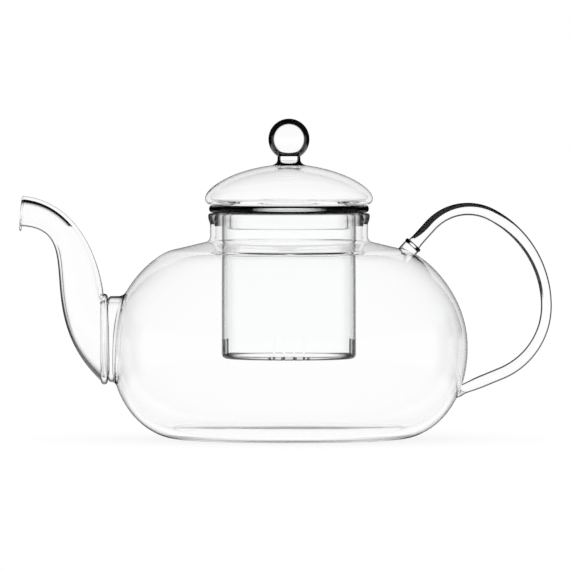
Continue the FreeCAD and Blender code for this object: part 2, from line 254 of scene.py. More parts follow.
def turned(name: str, points: Sequence[Point]) -> Piece:
    """Draws a half-section edge by edge and spins it about Z.

    Args:
        name: The piece's name.
        points: The half-section, from the axis round to the axis.

    Returns:
        The closed piece.
    """
    clear_bench()
    bpy.ops.mesh.primitive_plane_add(size=MM)
    piece = named(name)
    with editing(piece):
        bpy.ops.mesh.select_mode(type="VERT")
        bpy.ops.mesh.select_all(action="SELECT")
        bpy.ops.mesh.merge(type="CENTER")
        bpy.ops.transform.translate(value=(points[0][0], 0, points[0][1]))
        for start, end in zip(points, points[1:]):
            step = (end[0] - start[0], 0, end[1] - start[1])
            bpy.ops.mesh.extrude_region_move(TRANSFORM_OT_translate={"value": step})
        bpy.ops.mesh.select_all(action="SELECT")
        bpy.ops.mesh.spin(steps=TURNED_SIDES, angle=FULL_TURN, center=(0, 0, 0), axis=(0, 0, 1))
    close_up(piece)
    return piece


def add_modifier(piece: Piece, kind: str) -> bpy.types.Modifier:
    """Picks a piece and adds a modifier of a kind to it."""
    pick(piece)
    bpy.ops.object.modifier_add(type=kind)
    return piece.modifiers[-1]


def work(piece: Piece, other: Piece, how: Solid) -> None:
    """Joins another closed shape to a piece or cuts it away, and keeps the other shape's finish on the cut.

    Args:
        piece: The piece that is changed.
        other: The shape it is worked with.
        how: Whether that is joined or cut.
    """
    modifier = add_modifier(piece, "BOOLEAN")
    modifier.object = other
    modifier.operation = how.value
    modifier.solver = "MANIFOLD"
    modifier.material_mode = "TRANSFER"
    bpy.ops.object.modifier_apply(modifier=modifier.name)


def discard(piece: Piece) -> None:
    """Takes a shape that was only a tool off the bench."""
    bpy.data.objects.remove(piece)


def give_finish(piece: Piece, faces: FaceTest, finish: "Finish") -> None:
    """Gives the faces that pass a test their own finish.

    Args:
        piece: The piece they are on.
        faces: The test.
        finish: The finish.
    """
    material = finish.material()
    if material.name not in piece.data.materials:
        piece.data.materials.append(material)
    slot = piece.data.materials.find(material.name)
    mesh = bmesh.new()
    mesh.from_mesh(piece.data)
    for face in mesh.faces:
        if faces(face):
            face.material_index = slot
    mesh.to_mesh(piece.data)
    mesh.free()


def on_plane(face: Face, x: float) -> bool:
    """Whether a face lies on the plane at a place along X, as the spout's seam does."""
    return all(abs(vertex.co.x - x) < MERGE_DISTANCE for vertex in face.verts)


def off_axis(place: Vector) -> float:
    """The distance of a point from the pot's axis."""
    return math.hypot(place.x, place.y)


def looks_to(height: float) -> FaceTest:
    """A test of whether a face looks towards a point of the axis, as the inside of a hollow piece does."""
    middle = Vector((0, 0, height))
    return lambda face: face.normal.dot(face.calc_center_median() - middle) < 0


class Wiring:
    """Adds nodes to a node tree and joins their sockets."""

    def __init__(self, tree: bpy.types.NodeTree) -> None:
        """Starts on an emptied tree."""
        self.tree = tree
        tree.nodes.clear()

    def node(self, kind: str, sources: Mapping[str, Source] | None = None, **settings: object) -> bpy.types.Node:
        """Adds a node, sets its properties and feeds its inputs.

        Args:
            kind: The node's type.
            sources: What its inputs are fed with, by their names.
            settings: Its properties by name.

        Returns:
            The node.
        """
        made = self.tree.nodes.new(kind)
        for name, value in settings.items():
            setattr(made, name, value)
        for name, source in (sources or {}).items():
            self.feed(source, made.inputs[name])
        return made

    def feed(self, source: Source, target: Socket) -> None:
        """Joins a socket to another, or sets a plain value on it."""
        if isinstance(source, Socket):
            self.tree.links.new(source, target)
        else:
            target.default_value = source

    def math(self, operation: str, *values: Socket | float) -> Socket:
        """Works out one value from others.

        Args:
            operation: What is done with them.
            values: Sockets or plain numbers.

        Returns:
            The socket of the result.
        """
        made = self.node("ShaderNodeMath", operation=operation)
        for value, target in zip(values, made.inputs):
            self.feed(value, target)
        return made.outputs["Value"]

    def rise(self, value: Socket, low: float, high: float) -> Socket:
        """A soft step from 0 at one value to 1 at another."""
        made = self.node("ShaderNodeMapRange", {"Value": value, "From Min": low, "From Max": high},
                         interpolation_type="SMOOTHSTEP")
        return made.outputs["Result"]

    def between(self, value: Socket, low: float, high: float, soft: float) -> Socket:
        """A soft band that is 1 between two values.

        Args:
            value: What is tested.
            low: Where the band starts.
            high: Where it ends.
            soft: How wide each soft edge is.

        Returns:
            The socket of the band.
        """
        starts = self.rise(value, low - soft / 2, low + soft / 2)
        ends = self.rise(value, high + soft / 2, high - soft / 2)
        return self.math("MULTIPLY", starts, ends)

    def noise(self, place: Socket, scale: Socket | float, detail: float) -> Socket:
        """A noise over the surface.

        Args:
            place: The coordinates that it is read at.
            scale: How fine it is.
            detail: How many finer noises it holds.

        Returns:
            The socket of its value.
        """
        made = self.node("ShaderNodeTexNoise", {"Vector": place, "Scale": scale, "Detail": detail})
        return made.outputs["Fac"]

    def mixed(self, share: Socket, first: Socket | Colour, second: Colour) -> Socket:
        """A colour between two others.

        Args:
            share: How much there is of the second.
            first: The first colour.
            second: The second colour.

        Returns:
            The socket of the mixed colour.
        """
        mix = self.node("ShaderNodeMix", {"Factor": share, "A": first, "B": second}, data_type="RGBA")
        return mix.outputs["Result"]

    def blend(self, share: Socket | float, first: bpy.types.Node, second: bpy.types.Node) -> bpy.types.Node:
        """A shader between two others.

        Args:
            share: How much there is of the second.
            first: The first shader.
            second: The second shader.

        Returns:
            The node of the blended shader.
        """
        mix = self.node("ShaderNodeMixShader", {"Fac": share})
        self.feed(first.outputs[0], mix.inputs[1])
        self.feed(second.outputs[0], mix.inputs[2])
        return mix

    def surface(self, shader: bpy.types.Node) -> None:
        """Puts a shader out as the material's surface."""
        self.node("ShaderNodeOutputMaterial", {"Surface": shader.outputs[0]})


RIPPLE_DETAIL = 1.0
FILM_SCALE = 60.0
FILM_DETAIL = 3.0
FILM_STEP = (0.5, 0.75)
STREAK_SCALE = (30.0, 30.0, 140.0)
STREAK_DETAIL = 2.0


def hand_work_group() -> bpy.types.NodeTree:
    """The marks of hand work in glass: a slow ripple, a thin film and drawn streaks.

    Returns:
        The node group, built once and shared by every glass.
    """
    name = "hand_worked_glass"
    if name in bpy.data.node_groups:
        return bpy.data.node_groups[name]
    group = bpy.data.node_groups.new(name, "ShaderNodeTree")
    wiring = Wiring(group)
    group.interface.new_socket("Place", in_out="INPUT", socket_type="NodeSocketVector")
    for socket in ("Ripple Scale", "Film Amount"):
        group.interface.new_socket(socket, in_out="INPUT", socket_type="NodeSocketFloat")
    for socket in ("Ripple", "Film", "Streak"):
        group.interface.new_socket(socket, in_out="OUTPUT", socket_type="NodeSocketFloat")
    given = wiring.node("NodeGroupInput")
    place = given.outputs["Place"]
    ripple = wiring.noise(place, given.outputs["Ripple Scale"], RIPPLE_DETAIL)
    patches = wiring.rise(wiring.noise(place, FILM_SCALE, FILM_DETAIL), *FILM_STEP)
    film = wiring.math("MULTIPLY", patches, given.outputs["Film Amount"])
    stretched = wiring.node("ShaderNodeMapping", {"Vector": place, "Scale": STREAK_SCALE})
    streak = wiring.noise(stretched.outputs["Vector"], 1.0, STREAK_DETAIL)
    wiring.node("NodeGroupOutput", {"Ripple": ripple, "Film": film, "Streak": streak})
    return group


def grey(level: float) -> Colour:
    """A grey of a level."""
    return (level, level, level, 1.0)


THIN_WALL_IOR = 1.15
SOLID_IOR = 1.4
# the near-black of the darkest painted edge shade
PAINTED_SHADE_BLACK = grey(0.00001)


def new_material(name: str) -> bpy.types.Material:
    """A new material that has nodes."""
    material = bpy.data.materials.new(name)
    material.use_nodes = True
    return material


class Finish:
    """What all finishes share: each is built once and found again by its name."""

    name: str

    def material(self) -> bpy.types.Material:
        """Builds the finish, or finds the one that was built before."""
        material = bpy.data.materials.get(self.name)
        if material is None:
            material = new_material(self.name)
            self.wire(Wiring(material.node_tree))
        return material

    def wire(self, wiring: Wiring) -> None:
        """Wires the finish's own nodes."""
        raise NotImplementedError


@dataclass(frozen=True)
class GlassFinish(Finish):
    """A clear borosilicate glass with the faint marks of hand work, and painted shade: its colour darkens where it
    turns away.
    """

    name: str
    clear_tint: Colour = grey(0.999)
    streak_tint: Colour = (0.99, 0.994, 0.993, 1.0)
    ripple_scale: float = 45.0
    ripple_strength: float = 0.05
    ripple_depth: float = 0.4 * MM
    film_amount: float = 0.01
    ior: float = THIN_WALL_IOR
    specular_level: float = 0.1
    # painted edge shade: the dark colour the glass is painted towards where it turns away, from where the facing starts
    # to where it is full
    painted_edge_shade_tint: Colour = grey(0.004)
    painted_shade_starts: float = 0.7
    painted_shade_full: float = 1.0
    shadow_tint: Colour = (0.93, 0.94, 0.94, 1.0)

    def wire(self, wiring: Wiring) -> None:
        """Wires the glass with its painted edge shade, and lets shadow rays through it."""
        place = wiring.node("ShaderNodeTexCoord")
        marks = wiring.node("ShaderNodeGroup", {"Place": place.outputs["Object"], "Ripple Scale": self.ripple_scale,
                                                "Film Amount": self.film_amount}, node_tree=hand_work_group())
        facing = wiring.node("ShaderNodeLayerWeight")
        # painted shade: the base colour darkens by facing, in place of the dark edges that refraction and reflection
        # give
        painted_shade_mask = wiring.rise(facing.outputs["Facing"], self.painted_shade_starts, self.painted_shade_full)
        tint = wiring.mixed(marks.outputs["Streak"], self.clear_tint, self.streak_tint)
        bump = wiring.node("ShaderNodeBump", {"Strength": self.ripple_strength, "Distance": self.ripple_depth,
                                              "Height": marks.outputs["Ripple"]})
        glass = wiring.node("ShaderNodeBsdfPrincipled", {
            "Transmission Weight": 1.0, "IOR": self.ior, "Specular IOR Level": self.specular_level,
            "Base Color": wiring.mixed(painted_shade_mask, tint, self.painted_edge_shade_tint), "Roughness": marks.outputs["Film"],
            "Normal": bump.outputs["Normal"]})
        shadow = wiring.node("ShaderNodeBsdfTransparent", {"Color": self.shadow_tint})
        path = wiring.node("ShaderNodeLightPath")
        wiring.surface(wiring.blend(path.outputs["Is Shadow Ray"], glass, shadow))


@dataclass(frozen=True)
class SawnFinish(Finish):
    """The ground faces that a saw leaves in glass: transmissive inside, with a frosted surface, and a near-black colour
    that is painted shade in the slits.
    """

    name: str = "sawn_glass_painted_slit_shade"
    # painted shade: the near-black colour of the slit walls
    tint: Colour = grey(0.03)
    grit_scale: float = 2500.0
    grit_detail: float = 2.0
    low_roughness: float = 0.15
    high_roughness: float = 0.35
    ior: float = 1.47

    def wire(self, wiring: Wiring) -> None:
        """Wires the frosted glass with its painted slit shade."""
        place = wiring.node("ShaderNodeTexCoord")
        grit = wiring.noise(place.outputs["Object"], self.grit_scale, self.grit_detail)
        rough = wiring.node("ShaderNodeMapRange", {"Value": grit, "To Min": self.low_roughness,
                                                   "To Max": self.high_roughness})
        wiring.surface(wiring.node("ShaderNodeBsdfPrincipled", {
            "Base Color": self.tint, "Transmission Weight": 1.0, "IOR": self.ior,
            "Roughness": rough.outputs["Result"]}))


@dataclass(frozen=True)
class WeldFinish(Finish):
    """The faces where two pieces are fused: the glass runs on through them, so they don't show."""

    name: str = "fused_weld"

    def wire(self, wiring: Wiring) -> None:
        """Wires a surface that lets everything through."""
        wiring.surface(wiring.node("ShaderNodeBsdfPrincipled", {"Alpha": 0.0}))


# Each glass below has painted edge shade: its colour darkens to its tint between two facings. The black ones paint dark
# bands of shade on the flange, the weld's ring, the spout's upper bore and the knob's ring, and the base's dark edge is
# a painted contact shadow.
POT_GLASS = GlassFinish("clear_pot_glass", painted_edge_shade_tint=grey(0.4), painted_shade_starts=0.76, painted_shade_full=0.92)
SHOULDER_GLASS = GlassFinish("clear_shoulder_glass", painted_edge_shade_tint=grey(0.4), painted_shade_starts=0.88)
INNER_GLASS = GlassFinish("clear_inner_glass", painted_edge_shade_tint=grey(0.86), painted_shade_starts=0.5, painted_shade_full=0.9)
FLOOR_GLASS = GlassFinish("clear_floor_glass", painted_edge_shade_tint=grey(0.9))
BASE_GLASS = GlassFinish("clear_base_glass", painted_edge_shade_tint=grey(0.05), painted_shade_starts=0.6, painted_shade_full=0.88)
LIP_GLASS = GlassFinish("clear_lip_glass", painted_shade_starts=0.42, painted_shade_full=0.72)
SPOUT_GLASS = GlassFinish("clear_spout_glass", painted_edge_shade_tint=grey(0.1), painted_shade_starts=0.66, painted_shade_full=0.84)
UNDERSIDE_GLASS = GlassFinish("clear_underside_glass", painted_shade_starts=0.46, painted_shade_full=0.66)
COLLAR_GLASS = GlassFinish("clear_collar_glass", painted_shade_starts=0.5, painted_shade_full=0.75)
ROD_GLASS = GlassFinish("clear_rod_glass", ior=SOLID_IOR, ripple_strength=0.02, painted_shade_starts=0.26, painted_shade_full=0.42)
KNOB_GLASS = GlassFinish("clear_knob_glass", ior=SOLID_IOR, ripple_strength=0.02, painted_edge_shade_tint=PAINTED_SHADE_BLACK,
                         painted_shade_starts=0.27, painted_shade_full=0.34)
INFUSER_GLASS = GlassFinish("clear_cup_glass", ripple_scale=60.0, ripple_strength=0.04,
                            painted_shade_starts=0.6, painted_shade_full=0.78)
RIM_GLASS = GlassFinish("clear_rim_glass", painted_edge_shade_tint=PAINTED_SHADE_BLACK, painted_shade_starts=0.03, painted_shade_full=0.13)
FLAT_RIM_GLASS = GlassFinish("clear_flat_rim_glass", painted_edge_shade_tint=PAINTED_SHADE_BLACK, painted_shade_starts=0.76, painted_shade_full=0.9)
CORNER_GLASS = GlassFinish("clear_corner_glass", painted_shade_starts=0.2, painted_shade_full=0.55)
CEILING_GLASS = GlassFinish("clear_ceiling_glass", painted_edge_shade_tint=PAINTED_SHADE_BLACK, painted_shade_starts=0.12, painted_shade_full=0.42)
LID_GLASS = GlassFinish("clear_lid_glass", ripple_scale=70.0, ripple_strength=0.09, painted_edge_shade_tint=grey(0.4),
                        painted_shade_starts=0.78, painted_shade_full=0.94)
SAWN = SawnFinish()
WELD = WeldFinish()


def show(piece: Piece, body: Body, node: str) -> None:
    """Smooths a finished piece, puts it on its body in place of its node and reports it.

    Args:
        piece: The finished piece.
        body: The body it rides on.
        node: The node it stands for.
    """
    pick(piece)
    bpy.ops.object.shade_smooth_by_angle(angle=math.radians(SMOOTH_ANGLE))
    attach(piece, body.value)
    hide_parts(node)
    LOG.info("%s: %d faces, rides on %s", piece.name, len(piece.data.polygons), body.value)


@dataclass
class BulbForm:
    """The outline of the blown bulb, its shoulder and its neck, and the same set in by its wall."""

    base_radius: float = 56.0 * MM
    base_thickness: float = 3.0 * MM
    widest_height: float = 46.6 * MM
    wall: float = 2.1 * MM
    shoulder_inset: float = 31.5 * MM
    shoulder_rise: float = 49.0 * MM
    shoulder_slope: float = 13.5
    neck_radius: float = 40.0 * MM
    neck_wall: float = 2.4 * MM
    neck_fillet: float = 3.0 * MM
    lip_overhang: float = 1.0 * MM
    lip_flare: float = 2.8 * MM
    lip_round: float = 1.2 * MM
    base_pull: float = 0.43
    flank_pull: float = 0.67
    upper_pull: float = 0.54
    shoulder_pull: float = 0.345

    def __post_init__(self) -> None:
        """Takes the bulb's radius and the lip's height from the frame."""
        low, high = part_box("pot_body")
        self.radius = (high.y - low.y) / 2
        self.lip_top = high.z
        self.neck_bore = self.neck_radius - self.neck_wall
        self.outside = self.blown(0, 0, self.neck_radius, self.neck_fillet)
        self.inside = self.blown(self.wall, self.base_thickness, self.neck_bore, self.neck_fillet + self.wall)

    def blown(self, inset: float, floor: float, neck: float, fillet: float) -> list[Point]:
        """The outline from the edge of the floor to the foot of the neck.

        Args:
            inset: How far it is set in from the outside.
            floor: The height of the floor.
            neck: The radius of the neck.
            fillet: The radius of the curve into the neck.

        Returns:
            The points, from the floor up.
        """
        slope = math.radians(self.shoulder_slope)
        side = self.radius - inset
        end = (self.radius - self.shoulder_inset - inset * math.sin(slope),
               self.widest_height + self.shoulder_rise - inset * math.cos(slope))
        sketch = Sketch((self.base_radius, floor))
        sketch.curve((self.base_radius + self.base_pull * (side - self.base_radius), floor),
                     (side, self.widest_height - self.flank_pull * (self.widest_height - floor)),
                     (side, self.widest_height), steps=44)
        pull = self.shoulder_pull * (side - end[0])
        sketch.curve((side, self.widest_height + self.upper_pull * (end[1] - self.widest_height)),
                     (end[0] + pull * math.cos(slope), end[1] - pull * math.sin(slope)), end, steps=44)
        corner = end[1] + (end[0] - neck) * math.tan(slope)
        turn = 90 - self.shoulder_slope
        tangent = fillet * math.tan(math.radians(turn / 2))
        sketch.line(neck + tangent * math.cos(slope), corner - tangent * math.sin(slope), steps=12)
        sketch.arc((neck + fillet, corner + tangent), fillet, 180 + turn, 180, steps=10)
        return sketch.points

    def section(self) -> list[Point]:
        """The whole half-section of the wall, from the middle of the base round to the middle of the floor."""
        sketch = Sketch((0, 0))
        sketch.line(self.base_radius, 0, steps=12)
        sketch.points += self.outside[1:]
        lip = self.lip_top - self.lip_round
        outer = self.neck_radius + self.lip_overhang
        sketch.line(self.neck_radius, lip - 2 * self.lip_flare, steps=4)
        sketch.curve((self.neck_radius, lip - self.lip_flare), (outer, lip - self.lip_flare), (outer, lip), steps=10)
        sketch.arc((outer - self.lip_round, lip), self.lip_round, 0, 90, steps=8)
        sketch.line(self.neck_bore + self.lip_round, self.lip_top)
        sketch.arc((self.neck_bore + self.lip_round, lip), self.lip_round, 90, 180, steps=8)
        inside = list(reversed(self.inside))
        sketch.line(*inside[0], steps=6)
        sketch.points += inside[1:]
        sketch.line(0, self.base_thickness, steps=12)
        return sketch.points

    def bed(self, depth: float) -> Piece:
        """A solid form of the outside, set in by a depth, that welds are shaped against."""
        outline = self.blown(depth, depth, self.neck_radius - depth, self.neck_fillet + depth)
        top = outline[-1][1]
        return turned("weld_bed", [(0, depth), *outline, (0, top)])


@dataclass
class SpoutJoint:
    """Where the spout meets the bulb: the seam's plane, its axis and the ring of glass that is fused."""

    height: float = 50.4 * MM
    standoff: float = 1.3 * MM
    bore: float = 18.8 * MM
    fused_radius: float = 19.6 * MM

    def seam(self, bulb: BulbForm) -> float:
        """The seam's place along X."""
        return -(bulb.radius + self.standoff)


@dataclass
class PotBody:
    """The blown bulb with the collar that is drawn out of it for the spout."""

    bulb: BulbForm
    joint: SpoutJoint
    collar_radius: float = 21.8 * MM
    collar_round: float = 2.0 * MM
    collar_fillet: float = 2.6 * MM
    bore_fillet: float = 1.6 * MM
    patch_radius: float = 30.0 * MM
    fillet_reach: float = 0.8
    collar_counts: tuple[int, int, int] = (5, 7, 2)
    bore_counts: tuple[int, int, int] = (6, 6, 3)
    edge_count: int = 9
    rim_merge: float = 0.25 * MM
    flat: float = 0.97
    steep: float = 0.8
    sway: float = 0.22 * MM
    sway_size: float = 55.0 * MM
    sway_starts: float = 26.0 * MM
    sway_full: float = 44.0 * MM

    def build(self) -> Piece:
        """Turns the bulb and draws out its collar."""
        pot = turned("glass_pot", self.bulb.section())
        pot.data.materials.append(POT_GLASS.material())
        pot.data.materials.append(WELD.material())
        self.open_wall(pot)
        self.draw_rings(pot, Wall.OUTER, self.outer_ways())
        self.draw_rings(pot, Wall.INNER, self.inner_ways())
        self.close_seam(pot)
        close_up(pot)
        let_sway(pot, self.sway, self.sway_size, self.freedom)
        self.dress(pot)
        return pot

    def dress(self, pot: Piece) -> None:
        """Gives each part of the bulb its own glass, each with its own painted edge shade; the base's edge is painted
        dark as a contact shadow.
        """
        give_finish(pot, looks_to(self.bulb.widest_height), INNER_GLASS)
        give_finish(pot, self.is_shoulder, SHOULDER_GLASS)
        give_finish(pot, self.is_lip, LIP_GLASS)
        give_finish(pot, self.is_base, BASE_GLASS)
        give_finish(pot, self.is_floor, FLOOR_GLASS)
        give_finish(pot, self.is_collar, COLLAR_GLASS)

    def is_shoulder(self, face: Face) -> bool:
        """Whether a face lies on the outside of the shoulder, which looks up."""
        return face.calc_center_median().z > self.bulb.widest_height and face.normal.z > self.steep

    def is_lip(self, face: Face) -> bool:
        """Whether a face lies on the flare of the lip."""
        return face.calc_center_median().z > self.bulb.lip_top - 2 * self.bulb.lip_flare

    def is_base(self, face: Face) -> bool:
        """Whether a face lies on the base, below the floor of the bulb."""
        return face.calc_center_median().z < self.bulb.base_thickness - MERGE_DISTANCE

    def is_floor(self, face: Face) -> bool:
        """Whether a face lies on the flat of the floor or on the flat under it."""
        return face.calc_center_median().z < 2 * self.bulb.base_thickness and abs(face.normal.z) > self.flat

    def is_collar(self, face: Face) -> bool:
        """Whether a face lies on the outside of the collar, clear of its seam."""
        centre = face.calc_center_median()
        seam = self.joint.seam(self.bulb)
        spread = self.collar_radius + self.collar_fillet
        return (self.joint.fused_radius < self.from_axis(centre) < spread and centre.x > seam + MERGE_DISTANCE
                and self.wall_of(centre) is Wall.OUTER)

    def from_axis(self, place: Vector) -> float:
        """The distance of a point from the spout's axis, on the spout's side of the pot."""
        return math.hypot(place.y, place.z - self.joint.height) if place.x < 0 else math.inf

    def outline(self, wall: Wall) -> list[Point]:
        """The outline of one face of the wall."""
        return self.bulb.outside if wall is Wall.OUTER else self.bulb.inside

    def on_bulb(self, wall: Wall, distance: float, angle: float) -> float:
        """The place along X of the wall, at a distance and an angle about the spout's axis."""
        radius = radius_at(self.outline(wall), self.joint.height + distance * math.sin(angle))
        return -math.sqrt(radius ** 2 - (distance * math.cos(angle)) ** 2)

    def wall_of(self, place: Vector) -> Wall:
        """Which face of the wall a point of the bulb is on."""
        middle = sum(radius_at(self.outline(wall), place.z) for wall in Wall) / 2
        return Wall.OUTER if off_axis(place) > middle else Wall.INNER

    def open_wall(self, pot: Piece) -> None:
        """Takes away both faces of the wall where the collar goes."""
        with editing(pot):
            bpy.ops.mesh.select_mode(type="FACE")
            mesh = bmesh.from_edit_mesh(pot.data)
            for face in mesh.faces:
                if any(self.from_axis(vertex.co) < self.patch_radius for vertex in face.verts):
                    face.select_set(True)
            bmesh.update_edit_mesh(pot.data)
            bpy.ops.mesh.delete(type="FACE")

    def tube_ways(self, wall: Wall, side: float, fillet: float, stop: float,
                  counts: tuple[int, int, int]) -> list[Way]:
        """One face of the tube that leaves the bulb, ring by ring.

        Args:
            wall: Which face of the bulb's wall it leaves.
            side: The tube's radius.
            fillet: The size of the curve between the bulb and the tube.
            stop: Where the tube's side ends along X.
            counts: How many rings lie on the bulb, in the fillet and on the side.

        Returns:
            The rings, each as a distance from the spout's axis and a place along X at an angle.
        """
        spread = side + fillet

        def on_wall(share: float) -> Way:
            """A ring on the bulb between the patch's edge and the fillet."""
            distance = self.patch_radius + (spread - self.patch_radius) * share
            return lambda angle: (distance, self.on_bulb(wall, distance, angle))

        def in_fillet(share: float) -> Way:
            """A ring of the fillet between the bulb and the tube."""
            def way(angle: float) -> Point:
                foot = self.on_bulb(wall, side, angle)
                end = foot - min(fillet, self.fillet_reach * (foot - stop))
                rest = 1 - share
                start = self.on_bulb(wall, spread, angle)
                return (side + fillet * rest ** 2,
                        rest ** 2 * start + 2 * rest * share * foot + share ** 2 * end)
            return way

        def on_side(share: float) -> Way:
            """A ring of the tube's side."""
            def way(angle: float) -> Point:
                foot = in_fillet(1)(angle)[1]
                return (side, foot + (stop - foot) * share)
            return way

        kinds = zip((on_wall, in_fillet, on_side), counts)
        return [kind(share) for kind, count in kinds for share in shares(count)]

    def outer_ways(self) -> list[Way]:
        """The collar's outside ring by ring, with its rounded edge."""
        shoulder = self.joint.seam(self.bulb) + self.collar_round
        reach = self.collar_radius - self.joint.fused_radius

        def on_edge(share: float) -> Way:
            """A ring of the collar's rounded edge."""
            turn = share * math.pi / 2
            distance = self.joint.fused_radius + reach * math.cos(turn)
            return lambda angle: (distance, shoulder - self.collar_round * math.sin(turn))

        rings = self.tube_ways(Wall.OUTER, self.collar_radius, self.collar_fillet, shoulder, self.collar_counts)
        return rings + [on_edge(share) for share in shares(self.edge_count)]

    def inner_ways(self) -> list[Way]:
        """The bore's inside ring by ring."""
        return self.tube_ways(Wall.INNER, self.joint.bore, self.bore_fillet, self.joint.seam(self.bulb),
                              self.bore_counts)

    def draw_rings(self, pot: Piece, wall: Wall, ways: Sequence[Way]) -> None:
        """Trues the opening of one face of the wall to a circle and extrudes it ring by ring to the seam.

        Args:
            pot: The opened bulb.
            wall: Which face.
            ways: The rings.
        """
        def rest_on_edge(angle: float) -> Point:
            """The circle that the opening is trued to."""
            return (self.patch_radius, self.on_bulb(wall, self.patch_radius, angle))

        with editing(pot):
            mesh = bmesh.from_edit_mesh(pot.data)
            for edge in mesh.edges:
                if edge.is_boundary and all(self.wall_of(vertex.co) is wall for vertex in edge.verts):
                    edge.select_set(True)
            self.place_ring(pot, rest_on_edge)
            bpy.ops.mesh.remove_doubles(threshold=self.rim_merge)
            for way in ways:
                bpy.ops.mesh.extrude_edges_move()
                self.place_ring(pot, way)

    def place_ring(self, pot: Piece, way: Way) -> None:
        """Moves the selected ring to its place about the spout's axis."""
        mesh = bmesh.from_edit_mesh(pot.data)
        for vertex in mesh.verts:
            if vertex.select:
                angle = math.atan2(vertex.co.z - self.joint.height, vertex.co.y)
                distance, along = way(angle)
                vertex.co = (along, distance * math.cos(angle), self.joint.height + distance * math.sin(angle))
        bmesh.update_edit_mesh(pot.data)

    def close_seam(self, pot: Piece) -> None:
        """Bridges the two rings at the seam with the face that is fused to the spout."""
        with editing(pot):
            bpy.ops.mesh.select_non_manifold(use_wire=False, use_multi_face=False, use_non_contiguous=False,
                                             use_verts=False)
            bpy.ops.mesh.bridge_edge_loops()
        give_finish(pot, lambda face: on_plane(face, self.joint.seam(self.bulb)), WELD)

    def freedom(self, place: Vector) -> float:
        """How free the wall is to wander at a place, which is not at all round the seam and on the base."""
        out = (self.from_axis(place) - self.sway_starts) / (self.sway_full - self.sway_starts)
        return min(out, place.z / self.bulb.base_thickness - 1)


def let_sway(piece: Piece, depth: float, size: float, freedom: Callable[[Vector], float]) -> None:
    """Lets a piece's surface wander by a slow noise, as a blown wall does.

    Args:
        piece: The piece.
        depth: How far apart the highest and lowest places are.
        size: How wide a swell is.
        freedom: How free the wall is at a place, from 0 or less to 1 or more.
    """
    group = piece.vertex_groups.new(name="free_wall")
    for vertex in piece.data.vertices:
        group.add([vertex.index], min(1.0, max(0.0, freedom(vertex.co))), "REPLACE")
    noise = bpy.data.textures.new("blown_sway", "CLOUDS")
    noise.noise_scale = size
    noise.noise_depth = 0
    modifier = add_modifier(piece, "DISPLACE")
    modifier.texture = noise
    modifier.strength = depth
    modifier.vertex_group = group.name
    bpy.ops.object.modifier_apply(modifier=modifier.name)


def move_selected(piece: Piece, matrix: Matrix) -> None:
    """Moves what is selected in edit mode by a matrix."""
    mesh = bmesh.from_edit_mesh(piece.data)
    bmesh.ops.transform(mesh, matrix=matrix, verts=[vertex for vertex in mesh.verts if vertex.select])
    bmesh.update_edit_mesh(piece.data)


def oval(top: Point, bottom: Point, half_width: float) -> Matrix:
    """The matrix that takes a unit circle to an oval between two points of the spout's outlines.

    Args:
        top: X and Z of its upper end.
        bottom: X and Z of its lower end.
        half_width: Its half width along Y.

    Returns:
        The matrix.
    """
    upright = Vector(((top[0] - bottom[0]) / 2, 0, (top[1] - bottom[1]) / 2))
    across = Vector((0, half_width, 0))
    facing = across.cross(upright).normalized()
    centre = ((top[0] + bottom[0]) / 2, 0, (top[1] + bottom[1]) / 2)
    matrix = Matrix((across, upright, facing)).transposed().to_4x4()
    matrix.translation = centre
    return matrix


